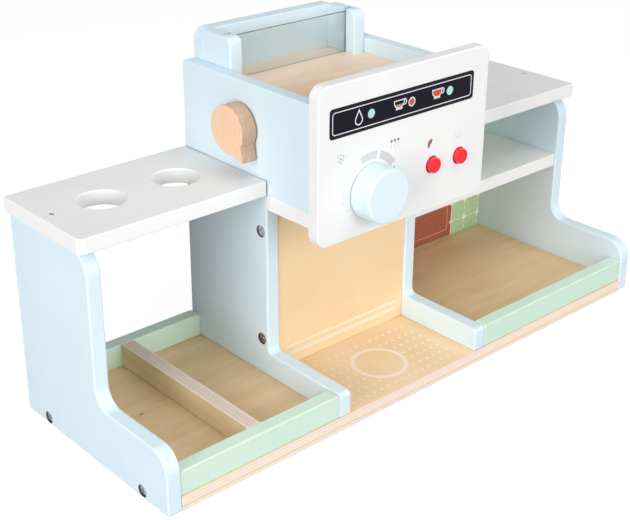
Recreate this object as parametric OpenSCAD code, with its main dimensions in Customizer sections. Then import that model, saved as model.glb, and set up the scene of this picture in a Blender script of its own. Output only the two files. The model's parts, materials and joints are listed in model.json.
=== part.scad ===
// Wooden toy coffee bar: a boarded stand with three bays, a machine housing
// over the middle one, and a control panel with a dial and two push buttons.
// All sizes are in millimetres. X runs left to right, Y front to back, Z up.

/* [Carcass] */
// Thickness of the wooden boards
board = 9; // [8:0.5:10]
// Depth of the base, front to back
depth = 139; // [134:1:180]
// Clear width of the left bay
left_bay_w = 110; // [100:1:160]
// Clear width of the centre bay
centre_bay_w = 106; // [102:1:130]
// Clear width of the right bay
right_bay_w = 143; // [110:1:200]
// Height of the counters' undersides above the ground
counter_z = 126; // [112:1:160]
// How far the low front pieces stand back from the base's front edge
front_setback = 0.5; // [0:0.5:3]

/* [Side panels] */
// Depth of the tall part of the panels
tall_depth = 76; // [60:1:90]
// Height of the low front part of the outer panels
low_h = 36.5; // [30:0.5:50]
// Radius of the outer panels' top front corner
tall_corner_r = 15; // [4:1:20]
// Radius of the hollow corner where an outer panel steps down
step_r = 11; // [4:1:16]
// Radius of the outer panels' low front corner
low_corner_r = 13; // [4:1:20]

/* [Bays] */
// Height of the rails above the base
rail_h = 15; // [8:1:20]
// Radius of the hollow corner where an inner panel steps down
inner_step_r = 4; // [1:1:8]
// Radius of the inner panels' low front corner
inner_corner_r = 3; // [1:1:7]
// Height of the right bay's shelf above the ground
shelf_z = 76; // [50:1:90]
// How far the shelf and the centre back panel stand back from the tall panels
inset = 1; // [0:0.5:4]

/* [Counters] */
// Depth of the counter tops
counter_depth = 77; // [70:1:90]
// How far the counter tops reach past the outer panels
counter_overhang = 3; // [0:0.5:8]
// Radius of the left counter top's outer front corner
left_counter_r = 4; // [1:0.5:6]
// Radius of the right counter top's outer front corner
right_counter_r = 2; // [1:0.5:6]
// Radius of the two holes in the left counter top
hole_r = 13.5; // [8:0.5:20]
// Distance of the first hole from the left panel's outer face
hole_x = 35; // [30:1:45]
// Distance between the two holes
hole_pitch = 49; // [44:1:56]
// Width of the chamfer round each hole
hole_chamfer = 1; // [0.5:0.5:2]

/* [Housing] */
// Height of the housing's side walls
housing_h = 62; // [58:1:90]
// Depth of the housing, back to the control panel
housing_depth = 116; // [106:1:124]
// Depth of the tray below the tops of the walls
tray_recess = 9; // [4:1:14]
// Height of the hopper above the tray
hopper_h = 27; // [18:1:45]
// Depth of the hopper's cheeks, back to front
cheek_depth = 25.5; // [20:0.5:40]
// Radius of the housing back panel's upper corners
back_corner_r = 7; // [2:1:10]
// Radius of the cheeks' upper front corners
cheek_corner_r = 5; // [2:1:10]
// Thickness of the hopper's clear window
window_t = 2; // [1.5:0.5:3]
// Distance of the window from the front of the cheeks
window_inset = 8.9; // [6:0.1:12]
// Drop of the window's top edge below the cheeks' tops
window_drop = 1.5; // [0:0.5:4]
// Depth of the window's slots in the cheeks
slot_depth = 6.5; // [4:0.5:7]
// Side reach of the window into each slot
window_reach = 3.5; // [2:0.5:4]
// Clearance of the window in its slots, each side
slot_play = 0.15; // [0.1:0.05:0.4]

/* [Control panel] */
// Thickness of the control panel
panel_t = 8; // [7:0.5:10]
// How far the panel reaches past the housing at each side
panel_side = 4.5; // [2:0.5:8]
// How far the panel reaches above the housing walls
panel_rise = 12.5; // [4:0.5:20]
// How far the panel hangs below the centre board
panel_drop = 7.5; // [4:0.5:12]
// Radius of the panel's corners
panel_corner_r = 7; // [3:1:12]
// Width of the display label
label_w = 112; // [80:1:118]
// Height of the display label
label_h = 16.8; // [12:0.2:24]
// Thickness of the display label
label_t = 0.4; // [0.3:0.1:1]
// Distance of the label from the panel's left edge
label_x = 7.7; // [5:0.1:9]
// Drop of the label's top edge below the panel's top edge
label_drop = 13; // [6:0.5:16]

/* [Dial] */
// Radius of the dial knob
dial_r = 16; // [10:0.5:18]
// Length of the dial knob
dial_len = 14; // [10:0.5:18]
// Radius of the dial's front edge
dial_edge_r = 2; // [1:0.5:3]
// Distance of the dial's axis from the housing's left wall
dial_x = 25.8; // [20:0.2:30]
// Height of the dial's axis above the centre board
dial_z = 8.8; // [6.2:0.2:14]

/* [Push buttons] */
// Radius of a button
button_r = 4.5; // [4:0.1:4.8]
// How far a button stands out of the panel
button_out = 3; // [2:0.5:5]
// Travel of a button
button_travel = 2.5; // [1:0.5:3]
// Radius of a button's hole in the panel
button_hole_r = 5.1; // [4.9:0.1:6]
// Gap between the buttons' guide block and the housing's right wall
block_side_gap = 1.2; // [0.2:0.1:4]
// Distance between the two buttons
button_pitch = 22.7; // [19:0.1:23]
// Height of the buttons' axes above the centre board
button_z = 11.4; // [10.6:0.2:16]

/* [Side knob] */
// Radius of the side knob's disc
knob_r = 14.2; // [10:0.1:18]
// Thickness of the side knob
knob_t = 10.5; // [9:0.5:16]
// Reach of the knob's beak from its axis
beak_len = 21.3; // [18:0.1:24]
// Lean of the beak towards the front, in degrees from straight down
beak_lean = 39; // [0:1:90]
// Reach of the beak's front flank to its side, where it leaves the disc
beak_front_w = 4.9; // [4:0.1:7]
// Reach of the beak's rear flank to its side, where it leaves the disc
beak_rear_w = 4.9; // [3:0.1:6]
// Radius of the beak's tip
beak_tip_r = 1.4; // [1:0.1:2]
// Radius of the hollow between the disc and the beak's rear flank
beak_hollow_r = 3; // [1:0.5:5]
// Distance of the knob's axis from the back
knob_y = 55.4; // [40:0.1:90]
// Drop of the knob's axis below the underside of the tray floor
knob_drop = 8; // [6.2:0.1:12]

/* [Hardware] */
// Radius of the two axles
axle_r = 3; // [2:0.25:4]
// Radial running clearance of a turning axle or a sliding stem in its bore
running_play = 0.05; // [0.02:0.01:0.1]
// Gap between the side knob and the wall that it turns on
knob_gap = 1; // [0.3:0.1:1.5]
// Gap between the dial and the panel that it turns on
dial_gap = 0.5; // [0.3:0.1:1]
// Radius of the screw heads
screw_head_r = 3.5; // [2.5:0.25:4]
// Radius of the screw shanks
screw_r = 1.75; // [1.25:0.25:2]
// Length of the screws through the side panels, inner panels and counter tops
screw_len = 28; // [20:1:35]
// Wood left between the base screws' tips and the top of the low front pieces
base_screw_cover = 4; // [2:0.5:6]
// Radius of the glued dowels
dowel_r = 2.5; // [1.5:0.25:3]

/* [Hidden] */
$fn = 64;

// Colours of the finishes
pale_blue = "#D9EEF7";
mint = "#CFEBD8";
white = "#F4F4F2";
plywood = "#D2B48C";
tan = "#F7D9AC";
beech = "#EFC39B";
red = "#F0303A";
steel = "#77797C";

// Places across the stand, from the outer face of the left side panel
left_bay_x = board;
left_inner_x = left_bay_x + left_bay_w;
centre_bay_x = left_inner_x + board;
right_inner_x = centre_bay_x + centre_bay_w;
right_bay_x = right_inner_x + board;
right_panel_x = right_bay_x + right_bay_w;
total_w = right_panel_x + board;
housing_w = centre_bay_w + 2 * board;
divider_x = left_bay_x + (left_bay_w - board) / 2;

// Heights
rail_z = board + rail_h;
centre_board_z = counter_z - board;
housing_top = counter_z + housing_h;
tray_z = housing_top - tray_recess;
hopper_top = tray_z + hopper_h;
panel_z = centre_board_z - panel_drop;
panel_top = housing_top + panel_rise;

// Distances in front of the back face
front_y = depth - front_setback;
shelf_depth = tall_depth - inset;
panel_front = housing_depth + panel_t;
cheek_front = board + cheek_depth;
window_y = cheek_front - window_inset;

// Control panel layout
panel_x = left_inner_x - panel_side;
panel_w = housing_w + 2 * panel_side;
panel_h = panel_top - panel_z;
dial_axis = [centre_bay_x + dial_x, counter_z + dial_z];
button_row_z = counter_z + button_z;
knob_axis_z = tray_z - board - knob_drop;

// Buttons, their springs and the block behind the panel that guides them
cut = 1;
flange_t = 2;
flange_lap = 0.6;
flange_gap = 0.3;
flange_r = button_hole_r + flange_lap;
chamber_r = flange_r + flange_gap;
stem_r = 2.5;
spring_wire_r = 0.45;
spring_stem_gap = 0.95;
spring_r = stem_r + spring_stem_gap + spring_wire_r;
spring_turns = 5;
spring_pressed_len = 7.2;
spring_len = button_travel + spring_pressed_len;
spring_gap = 0.1;
block_wall = 1.4;
guide_len = 6;
stem_tail = 2;
chamber_depth = flange_gap + flange_t + spring_len + spring_gap;
block_w = button_pitch + 2 * (chamber_r + block_wall);
right_button_x = right_inner_x - block_side_gap - block_wall - chamber_r;
left_button_x = right_button_x - button_pitch;
block_h = 21;
block_depth = chamber_depth + guide_len;
block_screw_z = 7.5;
block_screw_cover = 2;
block_screw_len = block_depth + panel_t - block_screw_cover;

// Axles and collars
axle_seat = 9;
collar_r = 6;
collar_t = 3;
collar_gap = 0.3;
axle_tail = 1.5;
knob_seat = 8;
rim_lap = 0.05;
arc_step = 10;

// Screws and dowels
head_h = 2.2;
recess_w = 1;
recess_len = 4;
recess_depth = 1;
base_screw_len = rail_z - base_screw_cover;
side_screw_margin = 23;
side_screw_y = [side_screw_margin, depth - side_screw_margin];
inner_screw_rise = 8;
inner_screw_drop = 15;
inner_screw_z = [rail_z + inner_screw_rise, centre_board_z - inner_screw_drop];
shelf_screw_margin = 15;
shelf_screw_y = [board + shelf_screw_margin, shelf_depth - shelf_screw_margin];
base_screw_back = 25;
base_screw_front = 33.5;
base_screw_y = [base_screw_back, front_y - base_screw_front];
dowel_in_panel = 5;
dowel_in_wall = 10;
dowel_in_counter = 12;
dowel_in_side = 5;
counter_dowel_margin = 15;
counter_dowel_y = [counter_dowel_margin, counter_depth - counter_dowel_margin];
panel_dowel_margin = 12;
panel_dowel_z = [panel_dowel_margin, housing_h - panel_dowel_margin];

// Screws: where each head is flush, and how it is turned from pointing down
point_right = [0, -90, 0];
point_left = [0, 90, 0];
point_up = [180, 0, 0];
point_front = [-90, 0, 0];
base_mid_z = board / 2;
back_panel_mid = shelf_depth - board / 2;
side_screws = [for (y = side_screw_y) each [
    [[0, -y, base_mid_z], point_right],
    [[total_w, -y, base_mid_z], point_left]]];
inner_screws = [for (z = inner_screw_z) each [
    [[left_inner_x, -back_panel_mid, z], point_right],
    [[right_bay_x, -back_panel_mid, z], point_left]]];
counter_screws = [for (x = [board / 2, total_w - board / 2])
    [[x, -counter_depth / 2, counter_z + board], [0, 0, 0]]];
shelf_screws = [for (y = shelf_screw_y) each [
    [[total_w, -y, shelf_z + board / 2], point_left],
    [[right_inner_x, -y, shelf_z + board / 2], point_right]]];
base_screws = [for (x = [left_inner_x, right_inner_x], y = base_screw_y)
    [[x + board / 2, -y, 0], point_up]];
block_screws = [for (side = [-1, 1])
    [[(left_button_x + right_button_x) / 2, -housing_depth + block_depth,
      button_row_z + side * block_screw_z], point_front]];

// Moves a piece from the carcass's back left corner to the centred frame
module place() {
    translate([-total_w / 2, depth / 2, 0]) children();
}

// A board of the stand: its least corner and its size
module board_at(x, y, z, size) {
    translate([x, y, z]) cube(size);
}

// The sliver between a square corner at the origin and a round one
module corner_sliver(r) {
    difference() {
        square(r);
        translate([r, r]) circle(r);
    }
}

// Rectangle with round corners
module round_rect(w, h, r) {
    difference() {
        square([w, h]);
        corner_sliver(r);
        translate([w, 0]) mirror([1, 0]) corner_sliver(r);
        translate([0, h]) mirror([0, 1]) corner_sliver(r);
        translate([w, h]) rotate(180) corner_sliver(r);
    }
}

// Turns an outline in Y and Z into a board of the given thickness along X
module side_board(x, thickness) {
    translate([x, 0, 0]) rotate([90, 0, 90]) linear_extrude(thickness) children();
}

// Turns an outline in X and Z into a board of the given thickness,
// whose back face lies at the given distance in front of the back
module front_board(y, thickness) {
    translate([0, -y, 0]) rotate([90, 0, 0]) linear_extrude(thickness) children();
}

// Stepped outline of a side panel: tall at the back and low at the front
module stepped_outline(bottom, top, low_top, front, step_radius, front_radius) {
    difference() {
        union() {
            translate([-tall_depth, bottom]) square([tall_depth, top - bottom]);
            translate([-front, bottom]) square([front, low_top - bottom]);
        }
        translate([-front, low_top]) mirror([0, 1]) corner_sliver(front_radius);
    }
    translate([-tall_depth, low_top]) mirror([1, 0]) corner_sliver(step_radius);
}

// Countersunk wood screw pointing down, its head flush at the origin
module screw_body(length) {
    translate([0, 0, -head_h]) cylinder(h = head_h, r1 = screw_r, r2 = screw_head_r);
    translate([0, 0, -length]) cylinder(h = length - head_h, r = screw_r);
}

module wood_screw(length) {
    difference() {
        screw_body(length);
        for (turn = [0, 90]) rotate([0, 0, turn])
            translate([-recess_len / 2, -recess_w / 2, -recess_depth])
                cube([recess_len, recess_w, recess_depth + cut]);
    }
}

module screws(places, length) {
    for (p = places) translate(p[0]) rotate(p[1]) wood_screw(length);
}

// Holes for the same screws
module screw_holes(places, length) {
    for (p = places) translate(p[0]) rotate(p[1]) {
        screw_body(length);
        cylinder(h = cut, r = screw_head_r);
    }
}

// Dowels between the counter tops and the housing walls; they also cut their holes
module counter_dowel_set() {
    for (y = counter_dowel_y) {
        translate([left_inner_x - dowel_in_counter, -y, counter_z + board / 2])
            rotate([0, 90, 0]) cylinder(h = dowel_in_counter + dowel_in_side, r = dowel_r);
        translate([right_bay_x - dowel_in_side, -y, counter_z + board / 2])
            rotate([0, 90, 0]) cylinder(h = dowel_in_counter + dowel_in_side, r = dowel_r);
    }
}

// Dowels between the housing walls and the control panel; they also cut their holes
module panel_dowel_set() {
    for (x = [left_inner_x, right_inner_x], z = panel_dowel_z)
        translate([x + board / 2, -housing_depth + dowel_in_wall, counter_z + z])
            rotate([90, 0, 0]) cylinder(h = dowel_in_wall + dowel_in_panel, r = dowel_r);
}

// ---- carcass ----

module base_board() {
    color(plywood) place() difference() {
        board_at(left_bay_x, -depth, 0, [total_w - 2 * board, depth, board]);
        screw_holes(side_screws, screw_len);
        screw_holes(base_screws, base_screw_len);
    }
}

module outer_panel(x) {
    side_board(x, board) difference() {
        stepped_outline(0, counter_z, low_h, depth, step_r, low_corner_r);
        translate([-tall_depth, counter_z]) mirror([0, 1]) corner_sliver(tall_corner_r);
    }
}

module left_side_panel() {
    color(pale_blue) place() difference() {
        outer_panel(0);
        screw_holes(side_screws, screw_len);
        screw_holes(counter_screws, screw_len);
    }
}

module right_side_panel() {
    color(pale_blue) place() difference() {
        outer_panel(right_panel_x);
        screw_holes(side_screws, screw_len);
        screw_holes(counter_screws, screw_len);
        screw_holes(shelf_screws, screw_len);
    }
}

module inner_panel(x) {
    side_board(x, board)
        stepped_outline(board, counter_z, rail_z, front_y, inner_step_r, inner_corner_r);
}

module left_inner_panel() {
    color(pale_blue) place() difference() {
        inner_panel(left_inner_x);
        screw_holes(inner_screws, screw_len);
        screw_holes(base_screws, base_screw_len);
    }
}

module right_inner_panel() {
    color(pale_blue) place() difference() {
        inner_panel(right_inner_x);
        screw_holes(inner_screws, screw_len);
        screw_holes(base_screws, base_screw_len);
        screw_holes(shelf_screws, screw_len);
    }
}

// ---- counters, shelf and bays ----

// Counter top as seen from above, with one round outer front corner
module counter_outline(length, corner_r) {
    difference() {
        translate([0, -counter_depth]) square([length, counter_depth]);
        translate([0, -counter_depth]) corner_sliver(corner_r);
    }
}

// Through hole with a chamfered rim at both faces
module cup_hole(x) {
    rim_r = hole_r + hole_chamfer;
    translate([x, -counter_depth / 2, counter_z]) {
        translate([0, 0, -cut]) cylinder(h = board + 2 * cut, r = hole_r);
        translate([0, 0, board - hole_chamfer])
            cylinder(h = hole_chamfer, r1 = hole_r, r2 = rim_r);
        cylinder(h = hole_chamfer, r1 = rim_r, r2 = hole_r);
    }
}

module left_counter_top() {
    color(white) place() difference() {
        translate([-counter_overhang, 0, counter_z]) linear_extrude(board)
            counter_outline(left_inner_x + counter_overhang, left_counter_r);
        cup_hole(hole_x);
        cup_hole(hole_x + hole_pitch);
        screw_holes(counter_screws, screw_len);
        counter_dowel_set();
    }
}

module right_counter_top() {
    color(white) place() difference() {
        translate([total_w + counter_overhang, 0, counter_z]) mirror([1, 0, 0])
            linear_extrude(board)
                counter_outline(right_bay_w + board + counter_overhang, right_counter_r);
        screw_holes(counter_screws, screw_len);
        counter_dowel_set();
    }
}

module right_shelf() {
    color(white) place() difference() {
        board_at(right_bay_x, -shelf_depth, shelf_z,
                 [right_bay_w, shelf_depth - board, board]);
        screw_holes(shelf_screws, screw_len);
    }
}

module centre_board() {
    color(white) place() {
        board_at(centre_bay_x, -tall_depth, centre_board_z, [centre_bay_w, tall_depth, board]);
        board_at(left_inner_x, -housing_depth, centre_board_z,
                 [housing_w, housing_depth - tall_depth, board]);
    }
}

module centre_back_panel() {
    color(tan) place() difference() {
        board_at(centre_bay_x, -shelf_depth, board,
                 [centre_bay_w, board, centre_board_z - board]);
        screw_holes(inner_screws, screw_len);
    }
}

module right_back_panel() {
    color("#9DB98C") place()
        board_at(right_bay_x, -board, board, [right_bay_w, board, counter_z - board]);
}

module left_rear_rail() {
    color(mint) place() board_at(left_bay_x, -board, board, [left_bay_w, board, rail_h]);
}

module left_front_rail() {
    color(mint) place() board_at(left_bay_x, -front_y, board, [left_bay_w, board, rail_h]);
}

module right_front_rail() {
    color(mint) place() board_at(right_bay_x, -front_y, board, [right_bay_w, board, rail_h]);
}

module bay_divider() {
    color(plywood) place() board_at(divider_x, -front_y + board, board,
                                    [board, front_y - 2 * board, rail_h]);
}

// ---- housing and hopper ----

module housing_wall(x) {
    board_at(x, -housing_depth, counter_z, [board, housing_depth, housing_h]);
}

module housing_left_wall() {
    color(pale_blue) place() difference() {
        housing_wall(left_inner_x);
        counter_dowel_set();
        panel_dowel_set();
        translate([left_inner_x - cut, -knob_y, knob_axis_z]) rotate([0, 90, 0])
            cylinder(h = board + 2 * cut, r = axle_r + running_play);
    }
}

module housing_right_wall() {
    color(pale_blue) place() difference() {
        housing_wall(right_inner_x);
        counter_dowel_set();
        panel_dowel_set();
    }
}

module housing_back_panel() {
    height = hopper_top - counter_z;
    color(pale_blue) place() front_board(0, board) translate([centre_bay_x, counter_z])
        difference() {
            square([centre_bay_w, height]);
            translate([0, height]) mirror([0, 1]) corner_sliver(back_corner_r);
            translate([centre_bay_w, height]) rotate(180) corner_sliver(back_corner_r);
        }
}

module tray_floor() {
    color(plywood) place() board_at(centre_bay_x, -housing_depth, tray_z - board,
                                    [centre_bay_w, housing_depth - board, board]);
}

// Cheek with a round top front corner and an open-topped slot in its inner face
module cheek(x, slot_x) {
    slot_w = window_t + 2 * slot_play;
    difference() {
        side_board(x, board) difference() {
            translate([-cheek_front, tray_z]) square([cheek_depth, hopper_h]);
            translate([-cheek_front, hopper_top]) mirror([0, 1])
                corner_sliver(cheek_corner_r);
        }
        translate([slot_x, -window_y - slot_w / 2, tray_z - cut])
            cube([slot_depth + cut, slot_w, hopper_h + 2 * cut]);
    }
}

module hopper_left_cheek() {
    color(pale_blue) place() cheek(centre_bay_x, centre_bay_x + board - slot_depth);
}

module hopper_right_cheek() {
    color(pale_blue) place() cheek(right_inner_x - board, right_inner_x - board - cut);
}

module hopper_window() {
    x = centre_bay_x + board - window_reach;
    color("#CFE8EE", 0.4) place() translate([x, -window_y - window_t / 2, tray_z])
        cube([centre_bay_w - 2 * board + 2 * window_reach, window_t, hopper_h - window_drop]);
}

// ---- control panel ----

module control_panel() {
    color(white) place() difference() {
        front_board(housing_depth, panel_t)
            translate([panel_x, panel_z]) round_rect(panel_w, panel_h, panel_corner_r);
        panel_dowel_set();
        screw_holes(block_screws, block_screw_len);
        translate([dial_axis[0], -panel_front - cut, dial_axis[1]]) rotate([-90, 0, 0])
            cylinder(h = panel_t + 2 * cut, r = axle_r + running_play);
        for (x = [left_button_x, right_button_x])
            translate([x, -panel_front - cut, button_row_z]) rotate([-90, 0, 0])
                cylinder(h = panel_t + 2 * cut, r = button_hole_r);
    }
}

module display_label() {
    corner_r = 2;
    color("#1F1E26") place() front_board(panel_front, label_t)
        translate([panel_x + label_x, panel_top - label_drop - label_h])
            round_rect(label_w, label_h, corner_r);
}

// ---- dial: turns about an axis along Y ----

// Puts a shape that stands along +Z onto the dial's axis, pointing to the front,
// with its foot at the given distance in front of the back face
module on_dial_axis(y) {
    translate([dial_axis[0], -y, dial_axis[1]]) rotate([90, 0, 0]) children();
}

module dial_knob() {
    color(pale_blue) place() on_dial_axis(panel_front + dial_gap) difference() {
        rotate_extrude() {
            square([dial_r, dial_len - dial_edge_r]);
            square([dial_r - dial_edge_r, dial_len]);
            intersection() {
                translate([dial_r - dial_edge_r, dial_len - dial_edge_r]) circle(dial_edge_r);
                square([dial_r, dial_len]);
            }
        }
        translate([0, 0, -cut]) cylinder(h = axle_seat + cut, r = axle_r);
    }
}

module dial_axle() {
    tail = collar_gap + collar_t + axle_tail;
    color(beech) place() on_dial_axis(housing_depth - tail)
        cylinder(h = tail + panel_t + dial_gap + axle_seat, r = axle_r);
}

module collar() {
    difference() {
        cylinder(h = collar_t, r = collar_r);
        translate([0, 0, -cut]) cylinder(h = collar_t + 2 * cut, r = axle_r);
    }
}

module dial_collar() {
    color(beech) place() on_dial_axis(housing_depth - collar_gap - collar_t) collar();
}

// ---- side knob: turns about an axis along X ----

// Puts a shape that stands along +Z onto the side knob's axis, pointing inwards
module on_knob_axis(x) {
    translate([x, -knob_y, knob_axis_z]) rotate([90, 0, 90]) children();
}

// Point on the disc's rim at the given distance beside the beak's middle line
function rim_point(side) = [side, -sqrt(pow(knob_r, 2) - pow(side, 2))];

// Unit direction of the flank from its root to where it touches the tip's circle;
// side is 1 for the rear flank and -1 for the front one
function flank_direction(root, tip, side) =
    let (way = tip - root,
         angle = atan2(way[1], way[0]) + side * asin(beak_tip_r / norm(way)))
    [cos(angle), sin(angle)];

function left_of(u) = [-u[1], u[0]];

// Centre of the circle that touches the line from root along u, and reaches
// rim_lap into the disc
function hollow_centre(root, u) =
    let (start = root + beak_hollow_r * left_of(u),
         half_b = start * u,
         c = start * start - pow(knob_r - rim_lap + beak_hollow_r, 2))
    start + (sqrt(pow(half_b, 2) - c) - half_b) * u;

function angle_of(v) = atan2(v[1], v[0]);

// Points along an arc about a centre, between two angles
function arc(centre, r, from, to) =
    let (steps = ceil(abs(to - from) / arc_step))
    [for (k = [0:steps]) let (angle = from + (to - from) * k / steps)
        centre + r * [cos(angle), sin(angle)]];

// Beak that points straight down: a plain front flank, a rear flank that
// runs into the disc through a hollow, and a round tip
module beak_outline() {
    tip = [0, beak_tip_r - beak_len];
    front_root = rim_point(-beak_front_w);
    rear_root = rim_point(beak_rear_w);
    front_u = flank_direction(front_root, tip, -1);
    rear_u = flank_direction(rear_root, tip, 1);
    hollow = hollow_centre(rear_root, rear_u);
    polygon(concat(
        [[0, 0], front_root - front_u],
        arc(tip, beak_tip_r, angle_of(-left_of(front_u)), angle_of(left_of(rear_u))),
        arc(hollow, beak_hollow_r, angle_of(-left_of(rear_u)), angle_of(-hollow))));
}

// Disc with a beak that shows which way the knob is turned
module knob_outline() {
    circle(knob_r);
    rotate(-beak_lean) beak_outline();
}

module side_knob() {
    color(beech) place() on_knob_axis(left_inner_x - knob_gap - knob_t) difference() {
        linear_extrude(knob_t) knob_outline();
        translate([0, 0, knob_t - knob_seat]) cylinder(h = knob_seat + cut, r = axle_r);
    }
}

module side_knob_axle() {
    length = knob_seat + knob_gap + board + collar_gap + collar_t + axle_tail;
    color(beech) place() on_knob_axis(left_inner_x - knob_gap - knob_seat)
        cylinder(h = length, r = axle_r);
}

module side_knob_collar() {
    color(beech) place() on_knob_axis(centre_bay_x + collar_gap) collar();
}

// ---- push buttons: slide along Y ----

// Puts a shape that stands along +Z onto a button's axis, pointing to the back,
// with its foot at the given distance in front of the back face
module on_button_axis(x, y) {
    translate([x, -y, button_row_z]) rotate([-90, 0, 0]) children();
}

// Round cap, the flange that holds it behind the panel, and a guiding stem
module button(x) {
    edge_r = 1;
    cap_len = button_out + panel_t + flange_gap;
    stem_len = flange_t + spring_len + spring_gap + guide_len + stem_tail;
    color(red) place() on_button_axis(x, panel_front + button_out) {
        rotate_extrude() {
            translate([0, edge_r]) square([button_r, cap_len - edge_r]);
            square([button_r - edge_r, cap_len]);
            intersection() {
                translate([button_r - edge_r, edge_r]) circle(edge_r);
                square([button_r, cap_len]);
            }
        }
        translate([0, 0, cap_len]) cylinder(h = flange_t, r = flange_r);
        translate([0, 0, cap_len]) cylinder(h = stem_len, r = stem_r);
    }
}

module left_button() {
    button(left_button_x);
}

module right_button() {
    button(right_button_x);
}

// Coil spring standing along +Z: one tube swept round the helix
module coil_spring() {
    sides = 6;
    rings = 8 * spring_turns;
    rise = spring_len - 2 * spring_wire_r - 2 * spring_gap;
    points = [for (i = [0:rings], k = [0:sides - 1])
        let (turn = 360 * spring_turns * i / rings,
             spread = spring_r + spring_wire_r * cos(360 * k / sides))
        [spread * cos(turn), spread * sin(turn),
         spring_wire_r + spring_gap + rise * i / rings + spring_wire_r * sin(360 * k / sides)]];
    skin = [for (i = [0:rings - 1], k = [0:sides - 1])
        let (a = i * sides + k, b = i * sides + (k + 1) % sides)
        each [[a, b, b + sides], [a, b + sides, a + sides]]];
    ends = [for (k = [1:sides - 2]) each [
        [0, k + 1, k],
        [rings * sides, rings * sides + k, rings * sides + k + 1]]];
    polyhedron(points, concat(skin, ends));
}

module spring_at(x) {
    flange_back = housing_depth - flange_gap - flange_t;
    color(steel) place() on_button_axis(x, flange_back) coil_spring();
}

module left_button_spring() {
    spring_at(left_button_x);
}

module right_button_spring() {
    spring_at(right_button_x);
}

module button_block() {
    color(plywood) place() difference() {
        board_at((left_button_x + right_button_x - block_w) / 2, -housing_depth,
                 button_row_z - block_h / 2, [block_w, block_depth, block_h]);
        for (x = [left_button_x, right_button_x]) {
            on_button_axis(x, housing_depth + cut)
                cylinder(h = chamber_depth + cut, r = chamber_r);
            on_button_axis(x, housing_depth)
                cylinder(h = block_depth + cut, r = stem_r + running_play);
        }
        screw_holes(block_screws, block_screw_len);
    }
}

// ---- fasteners ----

module button_block_screws() {
    color(steel) place() screws(block_screws, block_screw_len);
}

module side_panel_screws() {
    color(steel) place() screws(side_screws, screw_len);
}

module inner_panel_screws() {
    color(steel) place() screws(inner_screws, screw_len);
}

module counter_screws() {
    color(steel) place() screws(counter_screws, screw_len);
}

module shelf_screws() {
    color(steel) place() screws(shelf_screws, screw_len);
}

module base_screws() {
    color(steel) place() screws(base_screws, base_screw_len);
}

module counter_dowels() {
    color(beech) place() counter_dowel_set();
}

module panel_dowels() {
    color(beech) place() panel_dowel_set();
}

base_board();
left_side_panel();
right_side_panel();
left_inner_panel();
right_inner_panel();
left_counter_top();
right_counter_top();
right_shelf();
centre_board();
centre_back_panel();
right_back_panel();
left_rear_rail();
left_front_rail();
right_front_rail();
bay_divider();
housing_left_wall();
housing_right_wall();
housing_back_panel();
tray_floor();
hopper_left_cheek();
hopper_right_cheek();
hopper_window();
control_panel();
display_label();
dial_knob();
dial_axle();
dial_collar();
side_knob();
side_knob_axle();
side_knob_collar();
left_button();
right_button();
left_button_spring();
right_button_spring();
button_block();
button_block_screws();
side_panel_screws();
inner_panel_screws();
counter_screws();
shelf_screws();
base_screws();
counter_dowels();
panel_dowels();
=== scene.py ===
"""Looks of a wooden toy coffee bar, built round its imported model."""
import json
import math

import bmesh
import bpy
from mathutils import Matrix, Vector
from mathutils.geometry import tessellate_polygon

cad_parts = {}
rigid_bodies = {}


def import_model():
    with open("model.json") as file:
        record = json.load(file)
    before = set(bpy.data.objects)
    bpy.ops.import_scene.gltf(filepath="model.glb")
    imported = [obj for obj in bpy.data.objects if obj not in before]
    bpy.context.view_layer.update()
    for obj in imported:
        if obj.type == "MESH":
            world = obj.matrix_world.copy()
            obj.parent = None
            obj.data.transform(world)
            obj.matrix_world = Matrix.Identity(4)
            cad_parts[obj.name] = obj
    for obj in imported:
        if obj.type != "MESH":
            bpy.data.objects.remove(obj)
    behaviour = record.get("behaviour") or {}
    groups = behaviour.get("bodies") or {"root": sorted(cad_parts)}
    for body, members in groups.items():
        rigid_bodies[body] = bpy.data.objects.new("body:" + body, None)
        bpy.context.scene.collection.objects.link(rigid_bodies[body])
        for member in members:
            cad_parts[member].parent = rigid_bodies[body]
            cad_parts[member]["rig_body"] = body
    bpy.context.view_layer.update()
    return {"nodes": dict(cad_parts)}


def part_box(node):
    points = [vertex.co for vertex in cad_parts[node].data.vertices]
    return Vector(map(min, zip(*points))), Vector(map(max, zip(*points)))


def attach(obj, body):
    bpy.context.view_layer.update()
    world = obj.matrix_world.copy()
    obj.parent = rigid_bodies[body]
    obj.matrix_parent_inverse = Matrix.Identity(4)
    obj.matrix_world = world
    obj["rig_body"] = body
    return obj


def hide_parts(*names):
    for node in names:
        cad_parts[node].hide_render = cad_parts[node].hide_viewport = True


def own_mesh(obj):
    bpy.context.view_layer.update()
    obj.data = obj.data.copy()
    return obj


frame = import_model()

MM = 0.001
X, Y, Z = 0, 1, 2


# ---- places, read from the frame ----

def low(node, axis):
    """Lowest coordinate of a node along an axis."""
    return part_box(node)[0][axis]


def high(node, axis):
    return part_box(node)[1][axis]


def middle(node):
    lowest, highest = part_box(node)
    return (lowest + highest) / 2


STAND_LEFT = low("left_side_panel", X)
STAND_BACK = high("base_board", Y)
FLOOR_TOP = high("base_board", Z)
PANEL_FRONT = low("control_panel", Y)
LABEL_FRONT = low("display_label", Y)
TAN_FRONT = low("centre_back_panel", Y)
TILES_FRONT = low("right_back_panel", Y)
BAY_LEFT = high("left_inner_panel", X)
BAY_RIGHT = low("right_inner_panel", X)
BAY_MIDDLE = (BAY_LEFT + BAY_RIGHT) / 2
DIAL_AXIS = Vector((middle("dial_knob").x, middle("dial_knob").z))


def across(mm):
    """X of a place that many millimetres right of the stand's left face."""
    return STAND_LEFT + mm * MM


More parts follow.
